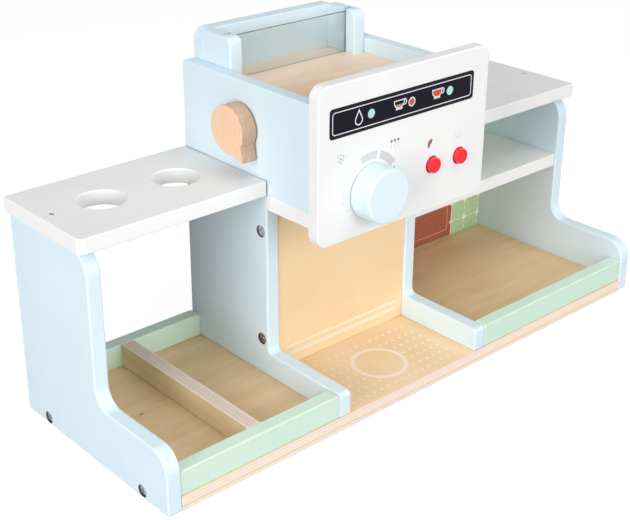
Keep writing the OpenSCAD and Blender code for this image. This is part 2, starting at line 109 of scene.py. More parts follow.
def spot(x, z):
    """A place on an upright face: millimetres from the stand's left face and the ground."""
    return Vector((across(x), z * MM))


# ---- outlines: lists of 2-D points, counter-clockwise round the wood ----

ORIGIN = Vector((0, 0))
UPRIGHT = math.pi / 2
SAME_POINT = 0.01 * MM
MERGED = SAME_POINT / 10
STRAIGHT = math.radians(0.6)
SHARP = math.radians(25)
ARC_STEP = math.radians(15)


def left_of(way):
    return Vector((-way.y, way.x))


def area(loop):
    return sum(loop[i - 1].cross(p) for i, p in enumerate(loop)) / 2


def oriented(loops):
    """The widest loop runs counter-clockwise, and the holes in it clockwise."""
    outer = max(loops, key=lambda loop: abs(area(loop)))
    return [loop if (area(loop) > 0) == (loop is outer) else loop[::-1] for loop in loops]


def straightened(loop):
    """The loop without doubled points and without points along its straight stretches."""
    apart = [p for i, p in enumerate(loop) if (p - loop[i - 1]).length > SAME_POINT]
    kept = []
    for i, p in enumerate(apart):
        back, on = p - apart[i - 1], apart[(i + 1) % len(apart)] - p
        if abs(back.angle_signed(on)) > STRAIGHT:
            kept.append(p)
    return kept


def seated(p, seats):
    """The seats that a point lies on. A seat is a line across coordinate 0 or 1 of the
    outline, where the board stands against another piece: (coordinate, value)."""
    return [k for k, value in seats if abs(p[k] - value) < 2 * SAME_POINT]


def set_back(loop, seats, gap):
    """The loop with its seats drawn back by the width of a glue joint."""
    middle_of = sum(loop, ORIGIN) / len(loop)
    moved = [p.copy() for p in loop]
    for p, before in zip(moved, loop):
        for k in seated(before, seats):
            p[k] += math.copysign(gap, middle_of[k] - p[k])
    return moved, [(k, value + math.copysign(gap, middle_of[k] - value)) for k, value in seats]


def eased(loop, radius, seats=()):
    """The loop with each sharp corner rounded to the radius, apart from those on a seat."""
    rounded = []
    for i, p in enumerate(loop):
        if seated(p, seats):
            rounded.append(p)
            continue
        back = (p - loop[i - 1]).normalized()
        on = (loop[(i + 1) % len(loop)] - p).normalized()
        turn = math.atan2(back.cross(on), back.dot(on))
        if abs(turn) < SHARP:
            rounded.append(p)
            continue
        start = p - back * radius * math.tan(abs(turn) / 2)
        centre = start + left_of(back) * math.copysign(radius, turn)
        steps = math.ceil(abs(turn) / ARC_STEP)
        for k in range(steps + 1):
            rounded.append(centre + Matrix.Rotation(turn * k / steps, 2) @ (start - centre))
    return rounded


def arc(centre, radius, start, end, steps=24):
    """Points along an arc, its angles in degrees."""
    angles = [math.radians(start + (end - start) * k / steps) for k in range(steps + 1)]
    return [centre + radius * Vector((math.cos(a), math.sin(a))) for a in angles]


def disc(centre, radius, steps=40):
    return arc(centre, radius, 0, 360 * (steps - 1) / steps, steps - 1)


def band(centre, inner, outer, start, end):
    """Part of a ring between two angles in degrees."""
    return arc(centre, outer, start, end) + arc(centre, inner, end, start)


def rectangle(left, bottom, right, top, radius=0.0):
    ends = [Vector(c) for c in ((left, bottom), (right, bottom), (right, top), (left, top))]
    return eased(ends, radius) if radius else ends


SEATED_EDGE = 0.2


def corners(loop, seats=()):
    """Point, inward miter and outward normal at each corner of a loop.
    On a seat the miter is short, so the edge there keeps a fifth of its rounding."""
    for i, p in enumerate(loop):
        before, after = loop[i - 1], loop[(i + 1) % len(loop)]
        back, on = p - before, after - p
        inward = left_of(back.normalized()), left_of(on.normalized())
        miter = (inward[0] + inward[1]) / (1 + inward[0].dot(inward[1]))
        weights = [back.length, on.length]
        for k in seated(p, seats):
            miter[k] *= SEATED_EDGE
            along = [abs(way[k]) < SAME_POINT for way in (back, on)]
            weights = [0 if flat else w for w, flat in zip(weights, along)]
        weights = weights if any(weights) else [1, 1]
        outward = -(inward[0] * weights[0] + inward[1] * weights[1]).normalized()
        yield p, miter, outward


def inset(loop, distance):
    return [p + miter * distance for p, miter, _ in corners(loop)]


def stroke(points, width):
    """Outline of a line drawn through the points, with round ends."""
    half = width / 2
    ways = [(b - a).normalized() for a, b in zip(points, points[1:])]
    ways = [ways[0]] + [(a + b).normalized() for a, b in zip(ways, ways[1:])] + [ways[-1]]
    left = [p + left_of(w) * half for p, w in zip(points, ways)]
    right = [p - left_of(w) * half for p, w in zip(points, ways)]
    heading = [math.degrees(math.atan2(w.y, w.x)) for w in (ways[0], ways[-1])]
    end = arc(points[-1], half, heading[1] - 90, heading[1] + 90, 6)[1:-1]
    start = arc(points[0], half, heading[0] + 90, heading[0] + 270, 6)[1:-1]
    return right + end + left[::-1] + start


def chained(edges):
    """Closed loops of points from loose edges."""
    links = {}
    for edge in edges:
        for vertex in edge.verts:
            links.setdefault(vertex, []).append(edge.other_vert(vertex))
    loops = []
    while links:
        here, loop = next(iter(links)), []
        while here is not None:
            loop.append(here.co.copy())
            following = [v for v in links.pop(here) if v in links]
            here = following[0] if following else None
        loops.append(loop)
    return loops


def welded(node):
    """A copy of a node's mesh with its doubled points merged."""
    mesh = bmesh.new()
    mesh.from_mesh(frame["nodes"][node].data)
    bmesh.ops.remove_doubles(mesh, verts=mesh.verts, dist=MERGED)
    return mesh


def section(node, axis, place):
    """Loops where a plane across the axis cuts a node, the widest first."""
    mesh = welded(node)
    normal = Vector([float(k == axis) for k in (X, Y, Z)])
    cut = bmesh.ops.bisect_plane(mesh, geom=mesh.verts[:] + mesh.edges[:] + mesh.faces[:],
                                 plane_co=normal * place, plane_no=normal)
    edges = [part for part in cut["geom_cut"] if isinstance(part, bmesh.types.BMEdge)]
    u, v = (axis + 1) % 3, (axis + 2) % 3
    loops = [straightened([Vector((p[u], p[v])) for p in loop]) for loop in chained(edges)]
    mesh.free()
    return sorted((loop for loop in loops if len(loop) > 2), key=lambda loop: -abs(area(loop)))


# ---- solids: (points, faces, normals) of a board cut to an outline ----

EDGE_STEPS = 4


def quarter_round(edge, steps=EDGE_STEPS):
    """(drop, inset, lean of the normal) of points from a side onto the face above it."""
    turns = [UPRIGHT * k / steps for k in range(steps + 1 if edge else 1)]
    return [(edge * (1 - math.sin(a)), edge * (1 - math.cos(a)), a) for a in turns]


def edge_profile(lowest, highest, low_edge, high_edge):
    """(height, inset, lean of the normal) up the side of a board with rounded edges."""
    below = [(lowest + drop, aside, -lean) for drop, aside, lean in quarter_round(low_edge)]
    above = [(highest - drop, aside, lean) for drop, aside, lean in quarter_round(high_edge)]
    return below[::-1] + above


class Solid:
    """A mesh in the making, with its own normals."""

    def __init__(self, axis):
        self.axis, self.u, self.v = axis, (axis + 1) % 3, (axis + 2) % 3
        self.points, self.faces, self.normals = [], [], []

    def ring(self, flat, height, outward, lean):
        """Adds one ring of points, and returns their numbers."""
        first = len(self.points)
        for p, n in zip(flat, outward):
            point, normal = Vector((0, 0, 0)), Vector((0, 0, 0))
            point[self.u], point[self.v], point[self.axis] = p.x, p.y, height
            normal[self.u], normal[self.v] = n.x * math.cos(lean), n.y * math.cos(lean)
            normal[self.axis] = math.sin(lean)
            self.points.append(point)
            self.normals.append(normal)
        return list(range(first, len(self.points)))

    def turned(self, radius, height, lean, steps):
        """Adds one ring of a shape turned about Z."""
        flat = disc(ORIGIN, max(radius, MERGED), steps)
        return self.ring(flat, height, [p.normalized() for p in flat], lean)

    def wall(self, rings):
        """Faces between rings that follow each other upwards."""
        for below, above in zip(rings, rings[1:]):
            for i in range(len(below)):
                self.faces.append((below[i - 1], below[i], above[i], above[i - 1]))

    def cap(self, rings, facing):
        """A flat face over the first ring, with the other rings as holes in it."""
        numbers = [n for ring in rings for n in ring]
        loops = [[self.points[n] for n in ring] for ring in rings]
        for triangle in tessellate_polygon(loops):
            a, b, c = [self.points[numbers[k]] for k in triangle]
            turned = (b - a).cross(c - a)[self.axis] * facing > 0
            self.faces.append(tuple(numbers[k] for k in (triangle if turned else triangle[::-1])))

    def well(self, loop, level, depth, facing):
        """A round hole that starts at a cap's level; returns its ring in that cap."""
        outward = [n for _, _, n in corners(loop)]
        ends = sorted((level, level - facing * depth))
        self.wall([self.ring(loop, height, outward, 0) for height in ends])
        floor = self.ring(loop, level - facing * depth, outward, facing * UPRIGHT)
        self.cap([floor[::-1]], facing)
        return self.ring(loop, level, outward, facing * UPRIGHT)


def slab(axis, loops, lowest, highest, low_edge=0.0, high_edge=0.0, wells=(), seats=(),
         hole_share=1.0):
    """A board: outlines across an axis, two levels, and the radius of each face's edges.
    The edges of its holes are rounded by a share of that."""
    solid = Solid(axis)
    caps = {-1: [], 1: []}
    for loop in oriented(loops):
        share = 1.0 if area(loop) > 0 else hole_share
        shape = list(corners(loop, seats))
        outward = [n for _, _, n in shape]
        rings = []
        for height, distance, lean in edge_profile(lowest, highest, low_edge * share,
                                                   high_edge * share):
            flat = [p + miter * distance for p, miter, _ in shape]
            rings.append(solid.ring(flat, height, outward, lean))
        solid.wall(rings)
        for facing, edge, level, ring in ((-1, low_edge, lowest, rings[0]),
                                          (1, high_edge, highest, rings[-1])):
            caps[facing].append(ring if edge else
                                solid.ring(loop, level, outward, facing * UPRIGHT))
    for loop, depth, facing in wells:
        level = highest if facing > 0 else lowest
        caps[facing].append(solid.well(loop, level, depth, facing))
    for facing in (-1, 1):
        solid.cap(caps[facing], facing)
    return solid


def lathe(profile, steps):
    """A turned shape about Z from (radius, height) points, bottom first, sharp where they bend."""
    solid = Solid(Z)
    for (r0, z0), (r1, z1) in zip(profile, profile[1:]):
        lean = math.atan2(r0 - r1, z1 - z0)
        solid.wall([solid.turned(r, z, lean, steps) for r, z in ((r0, z0), (r1, z1))])
    return solid


# ---- pieces ----

def body_of(node):
    return frame["nodes"][node]["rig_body"]


def in_scene(name, data):
    made = bpy.data.objects.new(name, data)
    bpy.context.scene.collection.objects.link(made)
    return made


def mesh_object(name, solids, material, place=None):
    """One object from several solids; place is a matrix that moves them first."""
    points, faces, normals = [], [], []
    for solid in solids:
        first = len(points)
        points += [place @ p if place else p for p in solid.points]
        turn = place.to_3x3() if place else Matrix.Identity(3)
        normals += [(turn @ n).normalized() for n in solid.normals]
        faces += [tuple(first + k for k in face) for face in solid.faces]
    mesh = bpy.data.meshes.new(name)
    mesh.from_pydata(points, [], faces)
    mesh.validate()
    mesh.shade_smooth()
    mesh.normals_split_custom_set_from_vertices(normals)
    mesh.materials.append(material)
    return in_scene(name, mesh)


def stand_in(node, solids, material, slot, place=None):
    """A finished piece that takes a CAD node's place."""
    piece = mesh_object(node + "_finished", solids, material, place)
    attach(piece, body_of(node))
    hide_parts(node)
    return piece


def add_to_cabinet(piece):
    """A piece of the scene's own, such as a print, that stays with the cabinet."""
    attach(piece, "cabinet")


# ---- nodes of materials and of Geometry Nodes ----

def colour(code):
    """A shader colour from an sRGB hex code."""
    channels = [int(code[k:k + 2], 16) / 255 for k in (1, 3, 5)]
    linear = [c / 12.92 if c <= 0.04045 else ((c + 0.055) / 1.055) ** 2.4 for c in channels]
    return (*linear, 1.0)


def add(tree, kind, inputs=None, **settings):
    """Adds a node with its settings; an input is a value, a hex code or a node's socket."""
    made = tree.nodes.new(kind)
    for key, value in settings.items():
        setattr(made, key, value)
    for key, value in (inputs or {}).items():
        if isinstance(value, bpy.types.NodeSocket):
            tree.links.new(value, made.inputs[key])
        else:
            is_hex = isinstance(value, str) and value.startswith("#")
            made.inputs[key].default_value = colour(value) if is_hex else value
    return made


# Where most of a noise's values lie, and how squarely a face lies across an axis
MOST_NOISE, SQUARE_ON = (0.35, 0.65), (0.6, 0.8)


class Finish:
    """A material in the making: patterns on the piece, and the coat that they end in."""

    def __init__(self, name, **shader):
        self.material = bpy.data.materials.new(name)
        self.material.use_nodes = True
        self.tree = self.material.node_tree
        self.tree.nodes.clear()
        self.shader = add(self.tree, "ShaderNodeBsdfPrincipled", shader)
        add(self.tree, "ShaderNodeOutputMaterial", {"Surface": self.shader.outputs[0]})
        self.coords = add(self.tree, "ShaderNodeTexCoord")

    def noise(self, grain, detail=3.0, roughness=0.5):
        """Noise whose spots are that many millimetres across along X, Y and Z."""
        spots = grain if isinstance(grain, tuple) else (grain,) * 3
        scaled = add(self.tree, "ShaderNodeMapping", {
            "Vector": self.coords.outputs["Object"], "Scale": [1 / (g * MM) for g in spots]})
        made = add(self.tree, "ShaderNodeTexNoise", {
            "Vector": scaled.outputs[0], "Scale": 1.0, "Detail": detail, "Roughness": roughness})
        return made.outputs["Fac"]

    def facing(self, axis):
        """How squarely a face lies across an axis, from 0 to 1."""
        apart = add(self.tree, "ShaderNodeSeparateXYZ", {0: self.coords.outputs["Normal"]})
        return add(self.tree, "ShaderNodeMath", {0: apart.outputs[axis]},
                   operation="ABSOLUTE").outputs[0]

    def blend(self, pattern, first, second, least=0, most=1, between=MOST_NOISE):
        """From the first tone towards the second as a pattern rises between two values;
        least and most are the second tone's shares at the two ends."""
        share = add(self.tree, "ShaderNodeMapRange", {
            "Value": pattern, "From Min": between[0], "From Max": between[1],
            "To Min": least, "To Max": most})
        made = add(self.tree, "ShaderNodeMix", {0: share.outputs[0], 6: first, 7: second},
                   data_type="RGBA")
        return made.outputs[2]

    def coat(self, tone, rough=None, relief=None):
        """The finished material. Rough is a pattern with its lowest and highest roughness,
        and relief a pattern with its height in millimetres."""
        linked = {"Base Color": tone}
        if rough:
            linked["Roughness"] = add(self.tree, "ShaderNodeMapRange", {
                "Value": rough[0], "From Min": MOST_NOISE[0], "From Max": MOST_NOISE[1],
                "To Min": rough[1], "To Max": rough[2]}).outputs[0]
        if relief:
            linked["Normal"] = add(self.tree, "ShaderNodeBump", {
                "Height": relief[0], "Distance": relief[1] * MM, "Strength": 1.0}).outputs[0]
        for key, output in linked.items():
            self.tree.links.new(output, self.shader.inputs[key])
        return self.material


# ---- finishes; sizes of patterns and reliefs are in millimetres ----

def lacquer(name, tones, rough=(0.5, 0.6), peel=0.03, front=None, drift=60, ior=1.5):
    """Sprayed lacquer on sanded wood: an even colour with a faint drift, a soft broad
    sheen, and an orange peel about 1 mm across, drawn coarse enough to show.
    Front, where given, holds other tones for a turned piece's flat face: painted light and shade
    between face and side of the one paint."""
    look = Finish(name, IOR=ior)
    clouds = look.noise(drift, 2)
    tone = look.blend(clouds, *tones)
    # A turned piece's flat face gets its own tones here: painted light and shade.
    if front:
        tone = look.blend(look.facing(Y), tone, look.blend(clouds, *front), between=SQUARE_ON)
    return look.coat(tone, (look.noise(9, 2), *rough), (look.noise(1.1, 2), peel))


# Places between a board's two faces, and the tone of each layer of wood there
FINE_PLIES = ((0.0, "#EFE0D2"), (0.15, "#E3D3C6"), (0.3, "#D9C6B8"), (0.42, "#EADACB"),
              (0.52, "#D6C2B3"), (0.62, "#E6D6C8"), (0.75, "#DAC8BA"), (0.88, "#EBDCCE"),
              (1.0, "#F1E2D3"))
PLIES = ((0.0, "#FBEADA"), (0.12, "#F6E0CD"), (0.24, "#FDF0E3"), (0.29, "#E6CFB6"),
         (0.37, "#E9D4BC"), (0.42, "#FCEDDF"), (0.6, "#F8E4D2"), (0.74, "#FDEFE2"),
         (0.86, "#F4DDC8"), (1.0, "#FBE9D8"))
PLY_WANDER = 0.02


def layered(look, node, axis, plies):
    """The layers of wood between a board's two faces, wandering slightly."""
    apart = add(look.tree, "ShaderNodeSeparateXYZ", {0: look.coords.outputs["Object"]})
    height = add(look.tree, "ShaderNodeMapRange", {
        "Value": apart.outputs[axis], "From Min": low(node, axis), "From Max": high(node, axis)})
    wander = add(look.tree, "ShaderNodeMapRange", {
        "Value": look.noise((30, 30, 4), 2), "From Min": MOST_NOISE[0],
        "From Max": MOST_NOISE[1], "To Min": -PLY_WANDER, "To Max": PLY_WANDER})
    place = add(look.tree, "ShaderNodeMath", {0: height.outputs[0], 1: wander.outputs[0]},
                operation="ADD")
    made = add(look.tree, "ShaderNodeValToRGB", {0: place.outputs[0]})
    row = made.color_ramp.elements
    for k, (share, code) in enumerate(plies):
        stop = row[k] if k < 2 else row.new(share)
        stop.position, stop.color = share, colour(code)
    return made.outputs[0]


def knot(look, under, place, size, depth, tone="#5B4326"):
    """A pin knot, or any soft round spot twice as long along X, at a place on the wood."""
    offset = add(look.tree, "ShaderNodeVectorMath", {
        0: look.coords.outputs["Object"], 1: place}, operation="SUBTRACT")
    stretched = add(look.tree, "ShaderNodeVectorMath", {
        0: offset.outputs[0], 1: (0.5, 1, 1)}, operation="MULTIPLY")
    reach = add(look.tree, "ShaderNodeVectorMath", {0: stretched.outputs[0]}, operation="LENGTH")
    uneven = add(look.tree, "ShaderNodeMapRange", {
        "Value": look.noise(3, 2), "From Min": MOST_NOISE[0], "From Max": MOST_NOISE[1],
        "To Min": 0.7 * size, "To Max": 1.4 * size})
    share = add(look.tree, "ShaderNodeMath", {0: reach.outputs["Value"], 1: uneven.outputs[0]},
                operation="DIVIDE")
    return look.blend(share.outputs[0], under, tone, depth, 0, (0.2, 1.0))


def plywood(name, node, axis, veneer=("#F0D2A5", "#E7C798"), plies=PLIES, marks=(), way=X):
    """Birch plywood under clear lacquer: quiet veneer with faint clouds along the grain's
    way on both faces, and pale layers of uneven thickness on the sawn edges.
    Each mark is a place, a size, a depth and a tone, such as a pin knot."""
    look = Finish(name, IOR=1.5)
    along = lambda long, short: tuple(long if k == way else short for k in (X, Y, Z))
    grain = look.noise(along(60, 7))
    face = look.blend(grain, *veneer)
    face = look.blend(look.noise(along(70, 24), 2), face, "#CFAC82", most=0.3)
    streaks = look.noise(along(16, 0.5), 3, 0.6)
    face = look.blend(streaks, face, "#A98458", most=0.08, between=(0.5, 0.75))
    for given in marks:
        face = knot(look, face, *given)
    pores = look.noise((0.7, 0.7, 0.3), 3, 0.7)
    edge = look.blend(pores, layered(look, node, axis, plies), "#D8B89C", most=0.25)
    wood = look.blend(look.facing(axis), edge, face, between=SQUARE_ON)
    return look.coat(wood, (grain, 0.42, 0.55), (look.noise(along(9, 0.5), 2), 0.02))


def bore_shade_wood():
    """Bare board in a drilled hole, torn and rough with no lacquer on it; its dark grey is partly
    bare wood and partly painted shade of the deep hole.
    """
    look = Finish("bore_lining_painted_shade", IOR=1.45, Roughness=0.85)
    fibres = look.noise((0.5, 0.5, 1.2), 3, 0.6)
    return look.coat(look.blend(fibres, "#6B625C", "#4E4743"), relief=(fibres, 0.05))


def beech_wood():
    """Waxed beech: a smooth pinkish face with short fine flecks along the grain, and a
    darker rim round it, partly the sawn edge's own tone and partly painted shade."""
    look = Finish("waxed_beech", IOR=1.5)
    grain = look.noise((3, 1.6, 20), 4, 0.6)
    # The rim's darker tones are partly the sawn edge and partly painted shade.
    rim, face = [look.blend(grain, *tones) for tones in (("#D0AF95", "#C3A184"),
                                                         ("#F8D1AF", "#F3C9A5"))]
    wood = look.blend(look.facing(X), rim, face, between=SQUARE_ON)
    flecks = look.noise((0.4, 0.35, 3.2), 2, 0.6)
    wood = look.blend(flecks, wood, "#BC8A64", most=0.35, between=(0.58, 0.72))
    return look.coat(wood, (grain, 0.42, 0.52), (look.noise((0.5, 0.5, 5), 2), 0.02))


def ink(name, code, worn=0.04):
    """Screen-printed ink: flat colour, slightly paler where the screen lay unevenly."""
    look = Finish(name, IOR=1.45, Roughness=0.5)
    return look.coat(look.blend(look.noise(2.5), code, "#FFFFFF", most=worn))


def printed_board(name, base, deeper):
    """Printed paper-thin coat on board: an even tone with the faint stripes of the printer."""
    look = Finish(name, IOR=1.45, Roughness=0.48)
    tone = look.blend(look.noise(50, 2), base, deeper)
    tone = look.blend(look.noise((2.2, 2.2, 90), 2), tone, deeper, most=0.25)
    return look.coat(tone, relief=(look.noise((0.8, 0.8, 3), 2), 0.02))


def clear_sheet():
    """Cast acrylic: clear through its polished faces, grey where its sawn edges show."""
    look = Finish("clear_acrylic", IOR=1.49, Roughness=0.03, **{"Transmission Weight": 1.0})
    return look.coat(look.blend(look.facing(Y), "#A8A598", "#F1F4F3", between=SQUARE_ON))


def label_film(name, base, deeper):
    """Satin printed film: near-black blue with a fine even grain that takes the shine off."""
    look = Finish(name, IOR=1.2)
    return look.coat(look.blend(look.noise(5), base, deeper),
                     (look.noise(0.6, 2), 0.5, 0.6), (look.noise(0.5, 2), 0.01))


def screw_steel(name, base, deeper, rough):
    """Zinc-plated steel, tumbled: grey, broken glints and darker patches."""
    look = Finish(name, Metallic=1.0)
    patches = look.noise(1.6, 4, 0.6)
    return look.coat(look.blend(patches, base, deeper), (patches, rough, rough + 0.16),
                     (look.noise(0.5, 2), 0.02))


# Dark lining for the screw bores: bare wood darkened as painted shade.
bore_painted_shade = bore_shade_wood()
pale_blue = lacquer("pale_blue_lacquer", ("#DDEEF7", "#D8EBF5"))
white = lacquer("white_lacquer", ("#F3F3F2", "#EFEFEF"))
mint = lacquer("mint_lacquer", ("#D5ECDC", "#CEE8D6"))
# The dial's flat face has a slightly paler tone than its side: painted light on one paint.
dial_blue = lacquer("dial_lacquer", ("#D9EDF5", "#D5EBF4"), peel=0.02,
                    front=("#DFF1F8", "#DFF1F8"))
# The side's paler, pinker tones are a painted reflection of the bright studio; the flat face keeps
# the deeper red.
red_gloss = lacquer("red_gloss_lacquer", ("#F83644", "#F42F3C"), (0.2, 0.28), 0.01,
                    ("#FB1622", "#F6101C"), drift=20, ior=1.38)
beech = beech_wood()
steel = screw_steel("zinc_plated_steel", "#C6C7CA", "#85868B", 0.18)
# A darker copy of the screw steel: painted shade for the bare steel inside the counter screws'
# recesses.
recess_shade_steel = screw_steel("recess_steel_painted_shade", "#6F6F72", "#3E3E41", 0.4)
spring_steel = screw_steel("spring_steel_wire", "#A5A6A8", "#7C7D80", 0.22)
tan = printed_board("tan_printed_board", "#F6DAB2", "#F3D4A8")
tiles = printed_board("green_printed_board", "#C1DBB1", "#B9D4A8")
acrylic = clear_sheet()
foil = label_film("label_film", "#16151B", "#1A191F")
PAINTS = {"pale_blue_paint": pale_blue, "white_paint": white, "mint_paint": mint,
          "tan_print": tan, "tile_print": tiles}


# ---- screws ----

SCREW_SIDES = 32
HEAD_R, HEAD_DEEP, HEAD_SUNK = 3.4 * MM, 2.2 * MM, 0.7 * MM
SHANK_R = 1.75 * MM
# Under its rim the head narrows and deepens by these shares before the cone starts
RIM_IN, RIM_DOWN = 0.0875, 0.175
RECESS_ARM, RECESS_HALF, RECESS_DEEP = 1.9 * MM, 0.45 * MM, 1.1 * MM
RECESS_FLOOR_ARM, RECESS_FLOOR_HALF = 0.55 * RECESS_ARM, 0.8 * RECESS_HALF
PLUG_ARM, PLUG_HALF, PLUG_SUNK = 1.9 * MM, 0.55 * MM, 0.15 * MM
WELL_DEEP = 1.5 * MM
WELL_GAP, PAINTED_GAP = 0.3 * MM, 0.03 * MM
BORE_SKIN, BORE_LAP = 0.1 * MM, 0.02 * MM
PAINTED_SCREWS = "counter_screws"
SCREW_NODES = ["side_panel_screws", "inner_panel_screws", PAINTED_SCREWS,
               "shelf_screws", "base_screws"]


def islands(node):
    """The points of each separate solid in a node."""
    mesh = welded(node)
    left, found = set(mesh.verts), []
    while left:
        group, edge = set(), [left.pop()]
        while edge:
            here = edge.pop()
            group.add(here)
            near = {e.other_vert(here) for e in here.link_edges} - group
            edge += [v for v in near if v in left]
            left -= near
        found.append([v.co.copy() for v in group])
    mesh.free()
    return found


def screw_places(node):
    """(middle of the head's face, way into the wood, length) of each screw in a node."""
    places = []
    for points in islands(node):
        lowest = Vector([min(p[k] for p in points) for k in (X, Y, Z)])
        highest = Vector([max(p[k] for p in points) for k in (X, Y, Z)])
        length = max(highest - lowest)
        axis = list(highest - lowest).index(length)
        at_low, at_high = [sum(abs(p[axis] - end[axis]) < HEAD_DEEP / 4 for p in points)
                           for end in (lowest, highest)]
        head, way = (lowest + highest) / 2, Vector((0, 0, 0))
        head[axis] = lowest[axis] if at_low > at_high else highest[axis]
        way[axis] = 1.0 if at_low > at_high else -1.0
        places.append((head, way, length))
    return places


SCREWS = {node: screw_places(node) for node in SCREW_NODES}


def cross(arm, half):
    """Outline of a cross recess, counter-clockwise."""
    quarter = [Vector((arm, -half)), Vector((arm, half)), Vector((half, half))]
    turns = [Matrix.Rotation(UPRIGHT * k, 2) for k in range(4)]
    return [turn @ p for turn in turns for p in quarter]


def screw_solids(length):
    """A countersunk screw along -Z, its face at the origin, with a cross recess."""
    head = Solid(Z)
    rim = disc(ORIGIN, HEAD_R, SCREW_SIDES)
    outward = [p.normalized() for p in rim]
    opening = cross(RECESS_ARM, RECESS_HALF)
    floor = cross(RECESS_FLOOR_ARM, RECESS_FLOOR_HALF)
    head.cap([head.ring(rim, 0, outward, UPRIGHT), head.ring(opening, 0, opening, UPRIGHT)], 1)
    sides = [n for _, _, n in corners(opening[::-1])]
    head.wall([head.ring(floor[::-1], -RECESS_DEEP, sides, 0),
               head.ring(opening[::-1], 0, sides, 0)])
    head.cap([head.ring(floor, -RECESS_DEEP, opening, UPRIGHT)], 1)
    body = lathe([(0, -length), (SHANK_R, -length + 2 * SHANK_R), (SHANK_R, -HEAD_DEEP),
                  (HEAD_R * (1 - RIM_IN), -HEAD_DEEP * RIM_DOWN), (HEAD_R, 0)], SCREW_SIDES)
    return [head, body]


def repeat_tree(name):
    """Geometry Nodes that set a model on each point, turned to face the point's way."""
    tree = bpy.data.node_groups.new(name, "GeometryNodeTree")
    for label, kind in (("Points", "NodeSocketGeometry"), ("Model", "NodeSocketObject"),
                        ("Finish", "NodeSocketMaterial")):
        tree.interface.new_socket(label, in_out="INPUT", socket_type=kind)
    tree.interface.new_socket("Geometry", in_out="OUTPUT", socket_type="NodeSocketGeometry")
    given = add(tree, "NodeGroupInput")
    facing = add(tree, "GeometryNodeInputNamedAttribute", {"Name": "facing"},
                 data_type="FLOAT_VECTOR")
    turned = add(tree, "FunctionNodeAlignRotationToVector",
                 {"Vector": facing.outputs["Attribute"]}, axis="Z")
    model = add(tree, "GeometryNodeObjectInfo", {"Object": given.outputs["Model"]})
    placed = add(tree, "GeometryNodeInstanceOnPoints", {
        "Points": given.outputs["Points"], "Instance": model.outputs["Geometry"],
        "Rotation": turned.outputs["Rotation"]})
    real = add(tree, "GeometryNodeRealizeInstances", {"Geometry": placed.outputs[0]})
    coated = add(tree, "GeometryNodeSetMaterial", {
        "Geometry": real.outputs[0], "Material": given.outputs["Finish"]})
    add(tree, "NodeGroupOutput", {0: coated.outputs[0]})
    return tree


REPEAT = repeat_tree("set_model_on_points")


def repeated(name, model, places, material):
    """A plain mesh of the model at each (point, facing), made by Geometry Nodes."""
    points = bpy.data.meshes.new(name + "_points")
    points.from_pydata([p for p, _ in places], [], [])
    attribute = points.attributes.new("facing", "FLOAT_VECTOR", "POINT")
    attribute.data.foreach_set("vector", [c for _, way in places for c in way])
    carrier = in_scene(name + "_points", points)
    modifier = carrier.modifiers.new("repeat", "NODES")
    modifier.node_group = REPEAT
    inputs = {item.name: item.identifier for item in REPEAT.interface.items_tree
              if item.in_out == "INPUT"}
    modifier[inputs["Model"]] = model
    modifier[inputs["Finish"]] = material
    bpy.context.view_layer.update()
    evaluated = carrier.evaluated_get(bpy.context.evaluated_depsgraph_get())
    mesh = bpy.data.meshes.new_from_object(evaluated)
    mesh.name = name
    made = in_scene(name, mesh)
    bpy.data.objects.remove(carrier)
    bpy.data.objects.remove(model)
    return made


def make_screws():
    """The five groups of countersunk screws; the two in the counters are painted over, a dark
    cross of painted shade in each recess. The others sit a little deep in bare bores, lined with a
    dark tube of painted shade."""
    bores = []
    for node, places in SCREWS.items():
        painted = node == PAINTED_SCREWS
        sunk = 0 if painted else HEAD_SUNK
        model = mesh_object("screw_model", screw_solids(places[0][2] - sunk), steel)
        spots = [(head + way * sunk, -way) for head, way, _ in places]
        group = repeated(node + "_finished", model, spots, white if painted else steel)
        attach(group, body_of(node))
        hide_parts(node)
        if painted:
            # Dark steel crosses in the painted-over recesses: bare steel, darkened as painted
            # shade.
            plug = slab(Z, [cross(PLUG_ARM, PLUG_HALF)], -RECESS_DEEP, -PLUG_SUNK)
            add_to_cabinet(repeated("counter_screw_recesses", mesh_object("plug", [plug], steel),
                                    spots, recess_shade_steel))
        else:
            bores += [(head, -way) for head, way, _ in places]
    # A thin dark tube in each bore: painted shade of the hole, on bare wood.
    radii = [HEAD_R + WELL_GAP - skin for skin in (BORE_LAP, BORE_SKIN)]
    tube = slab(Z, [disc(ORIGIN, r, SCREW_SIDES) for r in radii], -WELL_DEEP, -BORE_LAP)
    add_to_cabinet(repeated("screw_bores", mesh_object("bore", [tube], bore_painted_shade), bores,
                            bore_painted_shade))


def screw_wells(node, axis):
    """Round wells for the screw heads that lie in a board's two faces."""
    lowest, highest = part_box(node)
    wells = []
    for group, places in SCREWS.items():
        gap = PAINTED_GAP if group == PAINTED_SCREWS else WELL_GAP
        for head, way, _ in places:
            u, v = (axis + 1) % 3, (axis + 2) % 3
            inside = all(lowest[k] < head[k] < highest[k] for k in (u, v))
            for facing, level in ((-1, lowest[axis]), (1, highest[axis])):
                if inside and abs(head[axis] - level) < SAME_POINT and way[axis] * facing < 0:
                    loop = disc(Vector((head[u], head[v])), HEAD_R + gap, SCREW_SIDES)[::-1]
                    wells.append((loop, WELL_DEEP, facing))
    return wells


# ---- boards ----

SKIN = 1.6 * MM
SMALLEST_HOLE = 4.5 * MM
CORNER_OVER_EDGE = 0.1
JOINT, WIDE_JOINT = 0.3 * MM, 0.9 * MM


